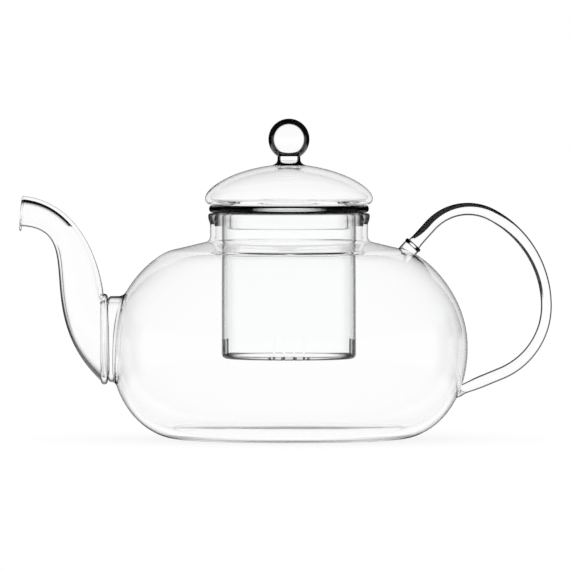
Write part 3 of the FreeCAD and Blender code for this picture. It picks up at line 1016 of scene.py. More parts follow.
@dataclass
class Spout:
    """The hollow S-curved spout with the bead round its foot."""

    bulb: BulbForm
    joint: SpoutJoint
    foot_length: float = 2.0 * MM
    foot_swell: float = 0.3
    bore_straight: float = 0.35
    base_radius: float = 22.4 * MM
    wall: float = 1.9 * MM
    flattening: float = 0.12
    mouth_diameter: float = 15.2 * MM
    mouth_lean: float = 1.3 * MM
    drip_length: float = 1.1 * MM
    drip_drop: float = 2.5 * MM
    drip_narrowing: float = 0.25
    upper_pulls: Point = (27.8 * MM, 22.0 * MM)
    upper_angles: Point = (97.8, -5.8)
    lower_pulls: Point = (53.2 * MM, 35.0 * MM)
    lower_angles: Point = (138.0, -2.9)
    upper_lag: float = 1.6
    lower_lead: float = 0.9
    bead_radius: float = 21.3 * MM
    bead_round: float = 1.7 * MM
    bead_sides: int = 28
    rings: int = 70
    drip_rings: int = 5
    lip_rings: int = 8
    sides: int = 160

    def __post_init__(self) -> None:
        """Works the two outlines out between the foot and the mouth."""
        low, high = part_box("spout")
        self.seam = self.joint.seam(self.bulb)
        start = self.seam - self.foot_length
        top = (low.x + self.mouth_lean + self.drip_length, high.z)
        bottom = (top[0] - self.mouth_lean, top[1] - self.mouth_diameter)
        self.upper = self.outline((start, self.joint.height + self.base_radius), top,
                                  self.upper_pulls, self.upper_angles)
        self.lower = self.outline((start, self.joint.height - self.base_radius), bottom,
                                  self.lower_pulls, self.lower_angles)

    @staticmethod
    def outline(start: Point, end: Point, pulls: Point, angles: Point) -> Bezier:
        """A curve that leaves its foot and meets the mouth at given angles.

        Args:
            start: Its foot.
            end: Its end at the mouth.
            pulls: How far it is pulled at the foot and at the mouth.
            angles: The directions of those pulls.

        Returns:
            The curve.
        """
        steps = [(pull * math.cos(math.radians(angle)), pull * math.sin(math.radians(angle)))
                 for pull, angle in zip(pulls, angles)]
        return Bezier(start, (start[0] + steps[0][0], start[1] + steps[0][1]),
                      (end[0] + steps[1][0], end[1] + steps[1][1]), end)

    def ring(self, share: float, inset: float) -> Matrix:
        """The oval at a share of the way from the foot to the mouth, set in by a wall."""
        high, low = share ** self.upper_lag, share ** self.lower_lead
        top, bottom = self.upper.at(high), self.lower.at(low)
        half = math.dist(top, bottom) / 2 * (1 - self.flattening * math.sin(math.pi * low)) - inset
        into, out = self.upper.left_of(high), self.lower.left_of(low)
        if share == 0:
            into, out = (0, -1), (0, -1)
        return oval((top[0] + into[0] * inset, top[1] + into[1] * inset),
                    (bottom[0] - out[0] * inset, bottom[1] - out[1] * inset), half)

    def lip_ring(self, share: float, inset: float, forward: float) -> Matrix:
        """An oval of the drip lip, at a share of its flare, set in and moved forward."""
        top, bottom = self.upper.at(1), self.lower.at(1)
        ahead = self.drip_length * share + forward
        tip = (top[0] - ahead, top[1] - inset)
        drip = (bottom[0] - ahead, bottom[1] - self.drip_drop * share ** 2 + inset)
        narrowing = self.drip_narrowing * self.drip_drop / self.mouth_diameter * share
        return oval(tip, drip, math.dist(tip, drip) / 2 * (1 - narrowing))

    def collar_ring(self, radius: float, along: float) -> Matrix:
        """A round ring about the spout's axis."""
        return oval((along, self.joint.height + radius), (along, self.joint.height - radius), radius)

    def way(self) -> list[Matrix]:
        """Every ring of the wall: up its outside to the mouth, round the lip and down its inside to the seam."""
        joint, half = self.joint, self.wall / 2
        swell = self.collar_ring((joint.fused_radius + self.base_radius) / 2,
                                 self.seam - self.foot_swell * self.foot_length)
        rings = [self.collar_ring(joint.fused_radius, self.seam), swell]
        along = [0, *shares(self.rings)]
        rings += [self.ring(share, 0) for share in along]
        flare = shares(self.drip_rings)
        rings += [self.lip_ring(share, 0, -half * share) for share in flare]
        for share in shares(self.lip_rings):
            turn = math.pi * share
            rings.append(self.lip_ring(1, half * (1 - math.cos(turn)), half * (math.sin(turn) - 1)))
        rings += [self.lip_ring(share, self.wall, -half * share) for share in reversed(flare[:-1])]
        rings += [self.ring(share, self.wall) for share in reversed(along)]
        rings += [self.collar_ring(joint.bore, self.seam - self.bore_straight * self.foot_length),
                  self.collar_ring(joint.bore, self.seam)]
        return rings

    def build(self) -> Piece:
        """Extrudes the wall ring by ring and joins the bead round its foot."""
        rings = self.way()
        clear_bench()
        bpy.ops.mesh.primitive_circle_add(vertices=self.sides, radius=1)
        spout = named("glass_spout")
        spout.data.materials.append(SPOUT_GLASS.material())
        with editing(spout):
            bpy.ops.mesh.select_all(action="SELECT")
            move_selected(spout, rings[0])
            for before, after in zip(rings, rings[1:]):
                bpy.ops.mesh.extrude_edges_move()
                move_selected(spout, after @ before.inverted())
            bpy.ops.mesh.select_non_manifold()
            bpy.ops.mesh.bridge_edge_loops()
        close_up(spout)
        self.dress(spout, len(rings) // 2 * self.sides)
        bead = self.bead()
        work(spout, bead, Solid.JOIN)
        discard(bead)
        return spout

    def dress(self, spout: Piece, outside: int) -> None:
        """Gives each part of the spout its own glass, each with its own painted edge shade; the upper side of the bore
        towards the mouth is painted black.

        Args:
            spout: The spout.
            outside: How many of its faces, which come first, lie outside.
        """
        give_finish(spout, self.is_underside, UNDERSIDE_GLASS)
        give_finish(spout, lambda face: face.index > outside, INNER_GLASS)
        give_finish(spout, self.is_ceiling, CEILING_GLASS)
        give_finish(spout, lambda face: on_plane(face, self.seam), WELD)

    @staticmethod
    def is_underside(face: Face) -> bool:
        """Whether a face looks down or ahead, as the lower side of the spout does."""
        return face.normal.x + face.normal.z < 0

    def is_ceiling(self, face: Face) -> bool:
        """Whether a face lies on the upper side of the bore, towards the mouth."""
        centre = face.calc_center_median()
        return centre.z > self.upper.at(1)[1] - self.mouth_diameter and face.normal.z < 0 and self.is_high(centre)

    def is_high(self, place: Vector) -> bool:
        """Whether a point is nearer to the upper outline than to the lower one."""
        upper, lower = (min(math.dist((place.x, place.z), outline.at(share)) for share in [0, *shares(self.rings)])
                        for outline in (self.upper, self.lower))
        return upper < lower

    def bead(self) -> Piece:
        """The bead of glass round the foot."""
        clear_bench()
        bpy.ops.mesh.primitive_torus_add(major_radius=self.bead_radius, minor_radius=self.bead_round,
                                         major_segments=self.sides, minor_segments=self.bead_sides,
                                         location=(self.seam - self.bead_round, 0, self.joint.height),
                                         rotation=(0, math.pi / 2, 0))
        bead = named("foot_bead")
        bpy.ops.object.transform_apply()
        bead.data.materials.append(COLLAR_GLASS.material())
        return bead


@dataclass
class Handle:
    """The solid bent rod, drawn out thinner at its back and welded to the shoulder and the flank."""

    bulb: BulbForm
    rod_radius: float = 3.0 * MM
    upper_rod: float = 3.25 * MM
    top_rod: float = 3.15 * MM
    back_rod: float = 2.75 * MM
    lower_rod: float = 3.1 * MM
    rise: float = 20.6 * MM
    back_radius: float = 52.2 * MM
    back_turn: float = 62.0
    top_radius: float = 25.6 * MM
    top_turn: float = 76.0
    lower_radius: float = 37.0 * MM
    lower_turn: float = 67.6
    gob_radius: float = 4.4 * MM
    gob_length: float = 2.8 * MM
    ring_radius: float = 4.7 * MM
    ring_width: float = 1.8 * MM
    rod_end: float = 3.5 * MM
    rod_end_length: float = 5.0 * MM
    lower_neck: float = 2.5 * MM
    lower_neck_length: float = 12.0 * MM
    flare_radius: float = 3.0 * MM
    weld_depth: float = 0.6 * MM
    sink: float = 6.0 * MM
    ring_bite: float = 0.2 * MM
    ring_step: float = 0.1 * MM
    flare_power: int = 12
    sink_rings: int = 24
    gob_rings: int = 12
    weld_rings: int = 8
    run_rings: int = 6
    sides: int = 64
    turn_step: float = 2.5

    def __post_init__(self) -> None:
        """Works the rod's way out from its back, which the frame gives."""
        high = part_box("handle")[1]
        self.back = (high.x - self.rod_radius, self.bulb.widest_height + self.rise)
        self.back_centre = (self.back[0] - self.back_radius, self.back[1])
        step = self.back_radius - self.top_radius
        turn = math.radians(self.back_turn)
        self.top_centre = (self.back_centre[0] + step * math.cos(turn), self.back_centre[1] + step * math.sin(turn))
        self.lower_centre = (self.back[0] - self.lower_radius, self.back[1])
        self.upper_angle = self.back_turn + self.top_turn - 90
        self.top_end = self.on_circle(self.top_centre, self.top_radius, self.back_turn + self.top_turn)
        self.lower_end = self.on_circle(self.lower_centre, self.lower_radius, -self.lower_turn)
        self.lower_angle = -self.lower_turn - 90
        self.reach = self.to_bulb(self.top_end, self.upper_angle + 180)
        self.foot = self.on_circle(self.top_end, self.reach, self.upper_angle + 180)

    @staticmethod
    def on_circle(centre: Point, radius: float, angle: float) -> Point:
        """The point of a circle at an angle."""
        turn = math.radians(angle)
        return (centre[0] + radius * math.cos(turn), centre[1] + radius * math.sin(turn))

    def to_bulb(self, start: Point, angle: float) -> float:
        """How far a straight run goes from a start at an angle until it meets the bulb."""
        def is_clear(distance: float) -> bool:
            """Whether the run is still outside the bulb after a distance."""
            x, z = self.on_circle(start, distance, angle)
            return x > radius_at(self.bulb.outside, z)

        return last_true(is_clear, 0.0, self.bulb.radius)

    def upper_rings(self) -> list[Point]:
        """Distance above the foot and radius of each ring of the upper weld and its straight run."""
        bead = self.ring_width / 2
        middle = self.gob_length + bead
        rings = [(-self.sink + share * self.sink, self.gob_radius) for share in [0, *shares(self.sink_rings)]]
        rings += [(self.gob_length * share, self.gob_radius) for share in shares(self.gob_rings)[:-1]]
        waist = self.gob_radius - self.ring_bite
        for share in [0, *shares(self.weld_rings)]:
            turn = math.pi * share
            rings.append((middle - bead * math.cos(turn), waist + (self.ring_radius - waist) * math.sin(turn)))
        taper = middle + bead
        rings.append((taper + self.ring_step, self.rod_end))
        for share in shares(self.weld_rings):
            rings.append((taper + self.rod_end_length * share,
                          self.rod_end + (self.upper_rod - self.rod_end) * math.sin(share * math.pi / 2)))
        return rings

    def lower_rings(self, length: float) -> list[Point]:
        """Distance along the lower run and radius of each of its rings, drawn thin, flared and into the bulb."""
        start = length - self.lower_neck_length
        rings = [(start * share, self.lower_rod) for share in [0, *shares(self.run_rings)]]
        for share in shares(self.sink_rings):
            drawn = (self.lower_neck - self.lower_rod) * eased(share)
            flared = (self.flare_radius - self.lower_neck) * share ** self.flare_power
            rings.append((start + self.lower_neck_length * share, self.lower_rod + drawn + flared))
        rings += [(length + self.sink * share, self.flare_radius) for share in shares(self.sink_rings)]
        return rings

    def draw_run(self, start: Point, angle: float, rings: Sequence[Point]) -> None:
        """Extrudes the selected ring, which is the first of a straight run, through the others.

        Args:
            start: Where the run's distances are measured from.
            angle: The direction of the run.
            rings: Distance along the run and radius of each ring.
        """
        done, radius = rings[0]
        for distance, wide in rings[1:]:
            step = self.on_circle((0, 0), distance - done, angle)
            bpy.ops.mesh.extrude_edges_move(TRANSFORM_OT_translate={"value": (step[0], 0, step[1])})
            centre = self.on_circle(start, distance, angle)
            self.resize(centre, wide / radius)
            done, radius = distance, wide

    @staticmethod
    def resize(centre: Point, ratio: float) -> None:
        """Makes the selected ring wider or narrower about its centre."""
        bpy.ops.transform.resize(value=(ratio, ratio, ratio), center_override=(centre[0], 0, centre[1]))

    def draw_bend(self, centre: Point, bend: float, start: float, end: float, radii: Point) -> None:
        """Spins the selected ring round a bend, step by step, and draws it out as it goes.

        Args:
            centre: The centre of the bend.
            bend: The radius of the bend.
            start: The angle where it starts.
            end: The angle where it ends.
            radii: The rod's radius at its start and its end.
        """
        steps = max(2, round(abs(end - start) / self.turn_step))
        radius = radii[0]
        for share in shares(steps):
            bpy.ops.mesh.spin(steps=1, angle=math.radians(end - start) / steps,
                              center=(centre[0], 0, centre[1]), axis=(0, 1, 0))
            wide = radii[0] + (radii[1] - radii[0]) * eased(share)
            self.resize(self.on_circle(centre, bend, start + (end - start) * share), wide / radius)
            radius = wide

    def build(self) -> Piece:
        """Draws the rod from the shoulder round to the flank and shapes its ends to the bulb."""
        rings = self.upper_rings()
        first = self.on_circle(self.foot, rings[0][0], self.upper_angle)
        clear_bench()
        bpy.ops.mesh.primitive_circle_add(vertices=self.sides, radius=rings[0][1], location=(first[0], 0, first[1]),
                                          rotation=(0, math.radians(90 - self.upper_angle), 0), fill_type="NGON")
        handle = named("glass_handle")
        bpy.ops.object.transform_apply()
        handle.data.materials.append(ROD_GLASS.material())
        with editing(handle):
            bpy.ops.mesh.select_all(action="SELECT")
            self.draw_run(self.foot, self.upper_angle, rings + [(self.reach, self.upper_rod)])
            self.draw_bend(self.top_centre, self.top_radius, self.back_turn + self.top_turn, self.back_turn,
                           (self.upper_rod, self.top_rod))
            self.draw_bend(self.back_centre, self.back_radius, self.back_turn, 0, (self.top_rod, self.back_rod))
            self.draw_bend(self.lower_centre, self.lower_radius, 0, -self.lower_turn, (self.back_rod, self.lower_rod))
            length = self.to_bulb(self.lower_end, self.lower_angle)
            self.draw_run(self.lower_end, self.lower_angle, self.lower_rings(length))
            bpy.ops.mesh.edge_face_add()
        close_up(handle)
        bed = self.bulb.bed(self.weld_depth)
        work(handle, bed, Solid.CUT)
        discard(bed)
        self.dress(handle)
        return handle

    def dress(self, handle: Piece) -> None:
        """Gives the upper weld and the fused ends their own glass: the gob gets painted dark edges and its ring is
        painted nearly black as shade.
        """
        give_finish(handle, self.is_gob, CORNER_GLASS)
        give_finish(handle, self.is_ring, RIM_GLASS)
        give_finish(handle, self.is_fused, WELD)

    def is_gob(self, face: Face) -> bool:
        """Whether a face lies on the gob or the ring of the upper weld."""
        centre = face.calc_center_median()
        return math.dist((centre.x, centre.z), self.foot) < self.gob_length + 2 * self.ring_width

    def is_ring(self, face: Face) -> bool:
        """Whether a face lies on the ring at the end of the gob."""
        centre = face.calc_center_median()
        run = self.on_circle((0, 0), 1, self.upper_angle)
        along = (centre.x - self.foot[0]) * run[0] + (centre.z - self.foot[1]) * run[1]
        return self.is_gob(face) and self.gob_length < along < self.gob_length + self.ring_width

    def is_fused(self, face: Face) -> bool:
        """Whether a face lies under the bulb's surface."""
        return all(off_axis(v.co) < radius_at(self.bulb.outside, v.co.z) for v in face.verts)


@dataclass
class Infuser:
    """The straight cup that hangs on the pot's lip, with saw cuts through its lower edge."""

    wall: float = 1.8 * MM
    cup_radius: float = 34.0 * MM
    corner: float = 2.5 * MM
    flange_thickness: float = 3.9 * MM
    flange_round: float = 1.9 * MM
    flange_root: float = 1.0 * MM
    slit_groups: int = 4
    slits_per_group: int = 4
    slit_pitch: float = 5.0 * MM
    slit_width: float = 1.0 * MM
    slit_height: float = 10.0 * MM
    slit_floor: float = 6.0 * MM
    slit_slant: float = 0.1
    flat: float = 0.97

    def __post_init__(self) -> None:
        """Takes the cup's heights and the flange's radius from the frame."""
        low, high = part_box("infuser")
        self.bottom, self.top = low.z, high.z
        self.flange_radius = high.x
        self.bore = self.cup_radius - self.wall

    def section(self) -> list[Point]:
        """The half-section of the cup, from the middle of its outside round to the middle of its floor."""
        under = self.top - self.flange_thickness
        round_ = self.flange_round
        corner = (self.cup_radius - self.corner, self.bottom + self.corner)
        sketch = Sketch((0, self.bottom))
        sketch.line(corner[0], self.bottom, steps=14)
        sketch.arc(corner, self.corner, -90, 0, steps=10)
        sketch.line(self.cup_radius, under - round_, steps=24)
        sketch.arc((self.cup_radius + round_, under - round_), round_, 180, 90, steps=8)
        rim = self.flange_radius - round_
        sketch.line(rim, under, steps=3)
        sketch.arc((rim, under + round_), round_, -90, 0, steps=8)
        sketch.line(self.flange_radius, self.top - round_, steps=2)
        sketch.arc((rim, self.top - round_), round_, 0, 90, steps=8)
        sketch.line(self.bore + round_, self.top, steps=4)
        sketch.arc((self.bore + round_, self.top - round_), round_, 90, 180, steps=8)
        sketch.line(self.bore, corner[1], steps=26)
        sketch.arc(corner, self.corner - self.wall, 0, -90, steps=6)
        sketch.line(0, self.bottom + self.wall, steps=14)
        return sketch.points

    def saw(self) -> Piece:
        """The blades' paths, as one shape of separate bars."""
        clear_bench()
        bpy.ops.mesh.primitive_cube_add(size=MM)
        saw = named("saw_cuts")
        saw.data.materials.append(SAWN.material())
        length = self.slit_floor + self.wall
        height = self.slit_height + self.wall
        with editing(saw):
            bpy.ops.mesh.select_all(action="SELECT")
            bpy.ops.mesh.delete(type="VERT")
            for group in range(self.slit_groups):
                turn = FULL_TURN * group / self.slit_groups
                for index in range(self.slits_per_group):
                    side = (index - (self.slits_per_group - 1) / 2) * self.slit_pitch
                    out = self.cup_radius - self.slit_floor + length / 2
                    place = Matrix.Rotation(turn, 3, "Z") @ Vector((out, side, self.bottom - self.wall + height / 2))
                    bpy.ops.mesh.primitive_cube_add(size=1, location=place, rotation=(0, 0, turn),
                                                    scale=(length, self.slit_width, height))
        return saw

    def build(self) -> Piece:
        """Turns the cup and saws its slits."""
        cup = turned("glass_infuser", self.section())
        cup.data.materials.append(INFUSER_GLASS.material())
        saw = self.saw()
        work(cup, saw, Solid.CUT)
        discard(saw)
        self.dress(cup)
        return cup

    def dress(self, cup: Piece) -> None:
        """Gives each part of the cup its own glass, each with its own painted edge shade; the flange is painted nearly
        black.
        """
        give_finish(cup, self.is_inside, INNER_GLASS)
        give_finish(cup, self.is_under, FLOOR_GLASS)
        give_finish(cup, self.is_flange, RIM_GLASS)
        give_finish(cup, self.is_flat_flange, FLAT_RIM_GLASS)
        give_finish(cup, self.is_corner, CORNER_GLASS)

    def is_turned(self, face: Face) -> bool:
        """Whether a face was turned, so that it looks straight in, out, up or down, and isn't one of a slit's."""
        centre = face.calc_center_median()
        return abs(face.normal.xy.cross(centre.xy)) < self.slit_slant * centre.xy.length

    def is_inside(self, face: Face) -> bool:
        """Whether a face lies on the inside of the cup, and not in a slit."""
        centre = face.calc_center_median()
        return (off_axis(centre) < self.bore + MERGE_DISTANCE
                and centre.z > self.bottom + self.wall - MERGE_DISTANCE and self.is_turned(face))

    def is_flange(self, face: Face) -> bool:
        """Whether a face lies on the thick flange, outside the cup."""
        centre = face.calc_center_median()
        under = self.top - self.flange_thickness - self.flange_root
        return off_axis(centre) > self.cup_radius and centre.z > under

    def is_flat_flange(self, face: Face) -> bool:
        """Whether a face lies on the flat top or underside of the flange."""
        return self.is_flange(face) and abs(face.normal.z) > self.flat

    def is_under(self, face: Face) -> bool:
        """Whether a face lies on the flat underside of the cup."""
        return face.calc_center_median().z < self.bottom + self.corner and face.normal.z < -self.flat

    def is_corner(self, face: Face) -> bool:
        """Whether a face lies on the rounded lower edge of the cup's outside."""
        centre = face.calc_center_median()
        return (off_axis(centre) > self.cup_radius - self.corner
                and centre.z < self.bottom + self.corner and self.is_turned(face))


@dataclass
class Lid:
    """The hollow domed lid with its skirt, and the ball that is welded on its crown."""

    dome_wall: float = 2.0 * MM
    edge_round: float = 2.9 * MM
    dome_height: float = 20.3 * MM
    top_pull: float = 0.52
    side_pull: float = 0.40
    skirt_radius: float = 31.4 * MM
    skirt_wall: float = 1.8 * MM
    skirt_fillet: float = 1.2 * MM
    stem_radius: float = 5.8 * MM
    stem_foot: float = 9.0 * MM
    stem_flare: float = 2.4 * MM
    foot_pull: Point = (0.25, 0.2)
    stem_pull: float = 0.5
    weld_play: float = 0.02 * MM
    weld_steps: int = 10
    arch_steps: int = 40
    ball_steps: int = 72
    sway: float = 0.3 * MM
    sway_size: float = 26.0 * MM

    def __post_init__(self) -> None:
        """Takes the dome's and the ball's sizes from the frame."""
        low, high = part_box("lid_dome")
        self.radius = high.x
        self.crown = high.z
        self.seat = self.crown - self.dome_height
        self.skirt_end = low.z
        knob_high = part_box("lid_knob")[1]
        self.ball_radius = knob_high.x
        self.ball_top = knob_high.z
        self.outside = self.arch(self.radius, self.crown)
        self.weld_share = last_true(lambda share: self.outside.at(share)[0] < self.stem_foot, 0.0, 1.0)

    def arch(self, radius: float, crown: float) -> Bezier:
        """The dome's curve from its crown to its side."""
        side = self.seat + self.edge_round
        return Bezier((0, crown), (radius * self.top_pull, crown),
                      (radius, side + (crown - side) * self.side_pull), (radius, side))

    def crown_points(self) -> list[Point]:
        """The dome's outside from its crown to the edge of the weld."""
        return [self.outside.at(self.weld_share * share) for share in [0, *shares(self.weld_steps)]]

    def dome_section(self) -> list[Point]:
        """The half-section of the dome, from its crown round its edge and skirt to the crown's inside."""
        sketch = Sketch(*self.crown_points())
        rest = 1 - self.weld_share
        sketch.points += [self.outside.at(self.weld_share + rest * share) for share in shares(self.arch_steps)]
        edge = (self.radius - self.edge_round, self.seat + self.edge_round)
        sketch.arc(edge, self.edge_round, 0, -90, steps=12)
        fillet = self.skirt_fillet
        sketch.line(self.skirt_radius + fillet, self.seat, steps=6)
        sketch.arc((self.skirt_radius + fillet, self.seat - fillet), fillet, 90, 180, steps=8)
        half = self.skirt_wall / 2
        tip = self.skirt_end + half
        sketch.line(self.skirt_radius, tip, steps=8)
        sketch.arc((self.skirt_radius - half, tip), half, 0, -180, steps=12)
        bore = self.skirt_radius - self.skirt_wall
        web = self.seat + self.dome_wall
        sketch.line(bore, web - half, steps=10)
        sketch.arc((bore + half, web - half), half, 180, 90, steps=8)
        sketch.line(edge[0], web, steps=6)
        sketch.arc(edge, self.edge_round - self.dome_wall, -90, 0, steps=6)
        inner = self.arch(self.radius - self.dome_wall, self.crown - self.dome_wall)
        sketch.points += [inner.at(1 - share) for share in shares(self.weld_steps + self.arch_steps)]
        return sketch.points

    def knob_section(self) -> list[Point]:
        """The half-section of the ball and its stem, from the weld up to the top of the ball."""
        centre = self.ball_top - self.ball_radius
        sketch = Sketch(*self.crown_points())
        foot = sketch.points[-1]
        flare = self.crown + self.stem_flare
        sketch.curve((self.stem_radius + self.foot_pull[0] * (foot[0] - self.stem_radius),
                      foot[1] + self.foot_pull[1] * self.stem_flare),
                     (self.stem_radius, flare - self.stem_pull * self.stem_flare), (self.stem_radius, flare), steps=14)
        stem_top = centre - math.sqrt(self.ball_radius ** 2 - self.stem_radius ** 2)
        sketch.line(self.stem_radius, stem_top, steps=4)
        start = math.degrees(math.asin((stem_top - centre) / self.ball_radius))
        sketch.arc((0, centre), self.ball_radius, start, 90, self.ball_steps)
        return sketch.points

    def fused(self) -> FaceTest:
        """A test of whether a face lies on the weld between the dome's crown and the stem."""
        arch = self.crown_points()

        def is_fused(face: Face) -> bool:
            """Whether every corner of a face lies on the weld."""
            places = [(off_axis(v.co), v.co.z) for v in face.verts]
            return all(
                radius < self.stem_foot + MERGE_DISTANCE
                and arch[-1][1] - MERGE_DISTANCE < height < self.crown + MERGE_DISTANCE
                and abs(height - self.height_on(arch, radius)) < self.weld_play
                for radius, height in places)

        return is_fused

    @staticmethod
    def height_on(arch: Sequence[Point], radius: float) -> float:
        """The height of the weld at a radius."""
        for inner, outer in zip(arch, arch[1:]):
            if inner[0] <= radius <= outer[0] + MERGE_DISTANCE:
                share = (radius - inner[0]) / (outer[0] - inner[0])
                return inner[1] + (outer[1] - inner[1]) * share
        return arch[-1][1]

    def build_dome(self) -> Piece:
        """Turns the dome."""
        dome = turned("glass_lid", self.dome_section())
        dome.data.materials.append(LID_GLASS.material())
        give_finish(dome, looks_to(self.seat), INNER_GLASS)
        give_finish(dome, self.fused(), WELD)
        let_sway(dome, self.sway, self.sway_size, self.freedom)
        return dome

    def build_knob(self) -> Piece:
        """Turns the ball and its stem."""
        knob = turned("glass_knob", self.knob_section())
        # the knob's glass is painted with a thick black ring of shade at its edges
        knob.data.materials.append(KNOB_GLASS.material())
        give_finish(knob, self.fused(), WELD)
        return knob

    def freedom(self, place: Vector) -> float:
        """How free the dome's wall is to wander at a place, which is not at all at the weld and below the seat."""
        out = (off_axis(place) - self.stem_foot) / self.stem_foot
        return min(out, (place.z - self.seat - self.edge_round) / self.edge_round)


@dataclass
class Studio:
    """The white studio: a pale stand, a lit panel behind the pot, a dark flag beside it and a soft lamp above.

    The surroundings are laid out in degrees aside from straight behind the pot and in degrees of rise above the
    horizon. A pair of them is where a soft edge starts and ends, or for behind_rise the two ends of a soft band.
    """

    panel_half_width: float = 211.0 * MM
    panel_bottom: float = 20.0 * MM
    panel_top: float = 290.0 * MM
    panel_distance: float = 300.0 * MM
    disc_half_width: float = 110.0 * MM
    disc_half_depth: float = 280.0 * MM
    flag_centre: tuple[float, float, float] = (89.0 * MM, 12.0 * MM, 90.7 * MM)
    flag_radius: float = 24.0 * MM
    flag_bottom: float = 94.5 * MM
    disc_sides: int = 96
    flag_sides: int = 64
    stand_width: float = 260.0 * MM
    stand_depth: float = 420.0 * MM
    stand_drop: float = 0.4 * MM
    stand_glow: float = 0.86
    stand_colour: Colour = grey(0.9)
    soft_light: float = 0.95
    dark_level: float = 0.015
    behind_aside: Point = (36.0, 30.0)
    behind_rise: Point = (-34.0, 1.0)
    behind_soft: float = 3.0
    wall_aside: Point = (60.0, 68.0)
    wall_rise: Point = (16.0, 8.0)
    ground_rise: Point = (-10.0, -16.0)
    lamp_place: tuple[float, float, float] = (-0.35, -0.45, 1.3)
    lamp_size: float = 0.8
    lamp_power: float = 6.0
    camera_place: tuple[float, float, float] = (-0.002, -5.0, 0.2)
    camera_target: tuple[float, float, float] = (-0.002, 0.0, 0.0778)
    camera_lens: float = 623.6
    sensor_width: float = 36.0
    glass_bounces: int = 40

    def build(self) -> None:
        """Sets the studio up."""
        self.stand()
        self.panels()
        self.flag()
        self.surroundings()
        self.lamp()
        self.camera()
        scene = bpy.context.scene
        scene.view_settings.view_transform = "Standard"
        for limit in ("max_bounces", "transmission_bounces", "glossy_bounces", "transparent_max_bounces"):
            setattr(scene.cycles, limit, self.glass_bounces)

    @staticmethod
    def sized(name: str, width: float, depth: float) -> Piece:
        """Names the flat shape that was just added and gives it its size."""
        piece = named(name)
        piece.scale = (width, depth, 1)
        bpy.ops.object.transform_apply()
        return piece

    def stand(self) -> None:
        """A pale stand that glows like the studio and keeps the pot's shadow."""
        clear_bench()
        bpy.ops.mesh.primitive_plane_add(size=1, location=(0, 0, -self.stand_drop))
        stand = self.sized("stand", self.stand_width, self.stand_depth)
        material = new_material("pale_stand")
        wiring = Wiring(material.node_tree)
        matt = wiring.node("ShaderNodeBsdfDiffuse", {"Color": self.stand_colour})
        wiring.surface(wiring.blend(self.stand_glow, matt, wiring.node("ShaderNodeEmission")))
        material.cycles.emission_sampling = "NONE"
        stand.data.materials.append(material)
        stand.visible_glossy = False
        stand.visible_transmission = False

    def panels(self) -> None:
        """The lit panel behind the pot and the lit disc under it, which are seen only through glass."""
        clear_bench()
        middle = (self.panel_bottom + self.panel_top) / 2
        bpy.ops.mesh.primitive_plane_add(size=1, location=(0, self.panel_distance, middle),
                                         rotation=(math.pi / 2, 0, 0))
        panel = self.sized("lit_panel", 2 * self.panel_half_width, self.panel_top - self.panel_bottom)
        clear_bench()
        bpy.ops.mesh.primitive_circle_add(vertices=self.disc_sides, radius=1, fill_type="NGON",
                                          location=(0, 0, -2 * self.stand_drop))
        disc = self.sized("lit_disc", self.disc_half_width, self.disc_half_depth)
        material = self.glow("panel_glow", 1.0)
        for lit in (panel, disc):
            lit.data.materials.append(material)
            self.hide_from_room(lit)

    def flag(self) -> None:
        """The dark flag behind the top of the handle, which draws a black band along its rod."""
        clear_bench()
        bpy.ops.mesh.primitive_circle_add(vertices=self.flag_sides, radius=self.flag_radius, fill_type="NGON",
                                          location=self.flag_centre, rotation=(math.pi / 2, 0, 0))
        flag = named("dark_flag")
        bpy.ops.object.transform_apply()
        with editing(flag):
            bpy.ops.mesh.select_all(action="SELECT")
            bpy.ops.mesh.bisect(plane_co=(0, 0, self.flag_bottom), plane_no=(0, 0, 1), clear_inner=True)
        flag.data.materials.append(self.glow("flag_black", 0.0))
        self.hide_from_room(flag)

    @staticmethod
    def glow(name: str, strength: float) -> bpy.types.Material:
        """A plain glow, or black where it has no strength."""
        material = new_material(name)
        wiring = Wiring(material.node_tree)
        wiring.surface(wiring.node("ShaderNodeEmission", {"Strength": strength}))
        material.cycles.emission_sampling = "NONE"
        return material

    @staticmethod
    def hide_from_room(thing: Piece) -> None:
        """Lets a thing of the studio be seen only through the glass."""
        thing.visible_camera = False
        thing.visible_glossy = False
        thing.visible_diffuse = False
        thing.visible_shadow = False

    def surroundings(self) -> None:
        """White for the camera, soft light for the stand, and white walls with dark gaps between them for the glass."""
        world = bpy.data.worlds.new("white_studio")
        bpy.context.scene.world = world
        world.use_nodes = True
        wiring = Wiring(world.node_tree)
        place = wiring.node("ShaderNodeTexCoord")
        parts = wiring.node("ShaderNodeSeparateXYZ", {"Vector": place.outputs["Generated"]})
        turn = wiring.math("ARCTAN2", parts.outputs["X"], parts.outputs["Y"])
        aside = wiring.math("ABSOLUTE", wiring.math("DEGREES", turn))
        rise = wiring.math("DEGREES", wiring.math("ARCSINE", parts.outputs["Z"]))

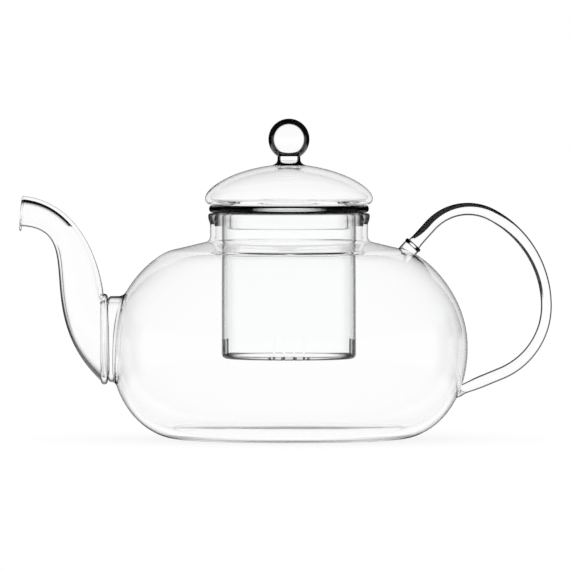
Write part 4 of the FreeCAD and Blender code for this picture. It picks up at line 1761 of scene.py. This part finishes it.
        horizon = wiring.math("MULTIPLY", wiring.rise(aside, *self.behind_aside),
                              wiring.between(rise, *self.behind_rise, self.behind_soft))
        sides = wiring.math("MULTIPLY", wiring.rise(aside, *self.wall_aside), wiring.rise(rise, *self.wall_rise))
        ground = wiring.rise(rise, *self.ground_rise)
        path = wiring.node("ShaderNodeLightPath")
        camera, diffuse = path.outputs["Is Camera Ray"], path.outputs["Is Diffuse Ray"]
        behind = wiring.math("MULTIPLY", horizon, path.outputs["Is Transmission Ray"])
        walls = wiring.math("MAXIMUM", wiring.math("MAXIMUM", ground, sides), behind)
        seen_in_glass = wiring.math("MAXIMUM", walls, self.dark_level)
        plain = wiring.math("MAXIMUM", camera, wiring.math("MULTIPLY", diffuse, self.soft_light))
        in_glass = wiring.math("SUBTRACT", 1.0, wiring.math("MAXIMUM", camera, diffuse))
        strength = wiring.math("ADD", plain, wiring.math("MULTIPLY", in_glass, seen_in_glass))
        light = wiring.node("ShaderNodeBackground", {"Strength": strength, "Color": grey(1.0)})
        wiring.node("ShaderNodeOutputWorld", {"Surface": light.outputs["Background"]})

    def lamp(self) -> None:
        """The soft lamp above, which gives the pot its shadow."""
        clear_bench()
        bpy.ops.object.light_add(type="AREA", location=self.lamp_place)
        lamp = named("soft_lamp")
        lamp.data.size = self.lamp_size
        lamp.data.energy = self.lamp_power
        lamp.rotation_euler = (Vector() - Vector(self.lamp_place)).to_track_quat("-Z", "Y").to_euler()
        lamp.visible_glossy = False
        lamp.visible_transmission = False

    def camera(self) -> None:
        """The camera, level with the pot and square to its side."""
        bpy.ops.object.camera_add(location=self.camera_place)
        camera = named("camera")
        aim = Vector(self.camera_target) - Vector(self.camera_place)
        camera.rotation_euler = aim.to_track_quat("-Z", "Y").to_euler()
        camera.data.lens = self.camera_lens
        camera.data.sensor_width = self.sensor_width
        bpy.context.scene.camera = camera


def main() -> None:
    """Builds the studio and every piece in order."""
    logging.basicConfig(level=logging.INFO, format="%(name)s: %(message)s")
    bulb = BulbForm()
    joint = SpoutJoint()
    handle = Handle(bulb).build()
    pot = PotBody(bulb, joint).build()
    work(pot, handle, Solid.CUT)
    show(pot, Body.POT, "pot_body")
    show(Spout(bulb, joint).build(), Body.POT, "spout")
    show(handle, Body.POT, "handle")
    show(Infuser().build(), Body.INFUSER, "infuser")
    lid = Lid()
    show(lid.build_dome(), Body.LID, "lid_dome")
    show(lid.build_knob(), Body.LID, "lid_knob")
    Studio().build()


if __name__ == "__main__":
    main()
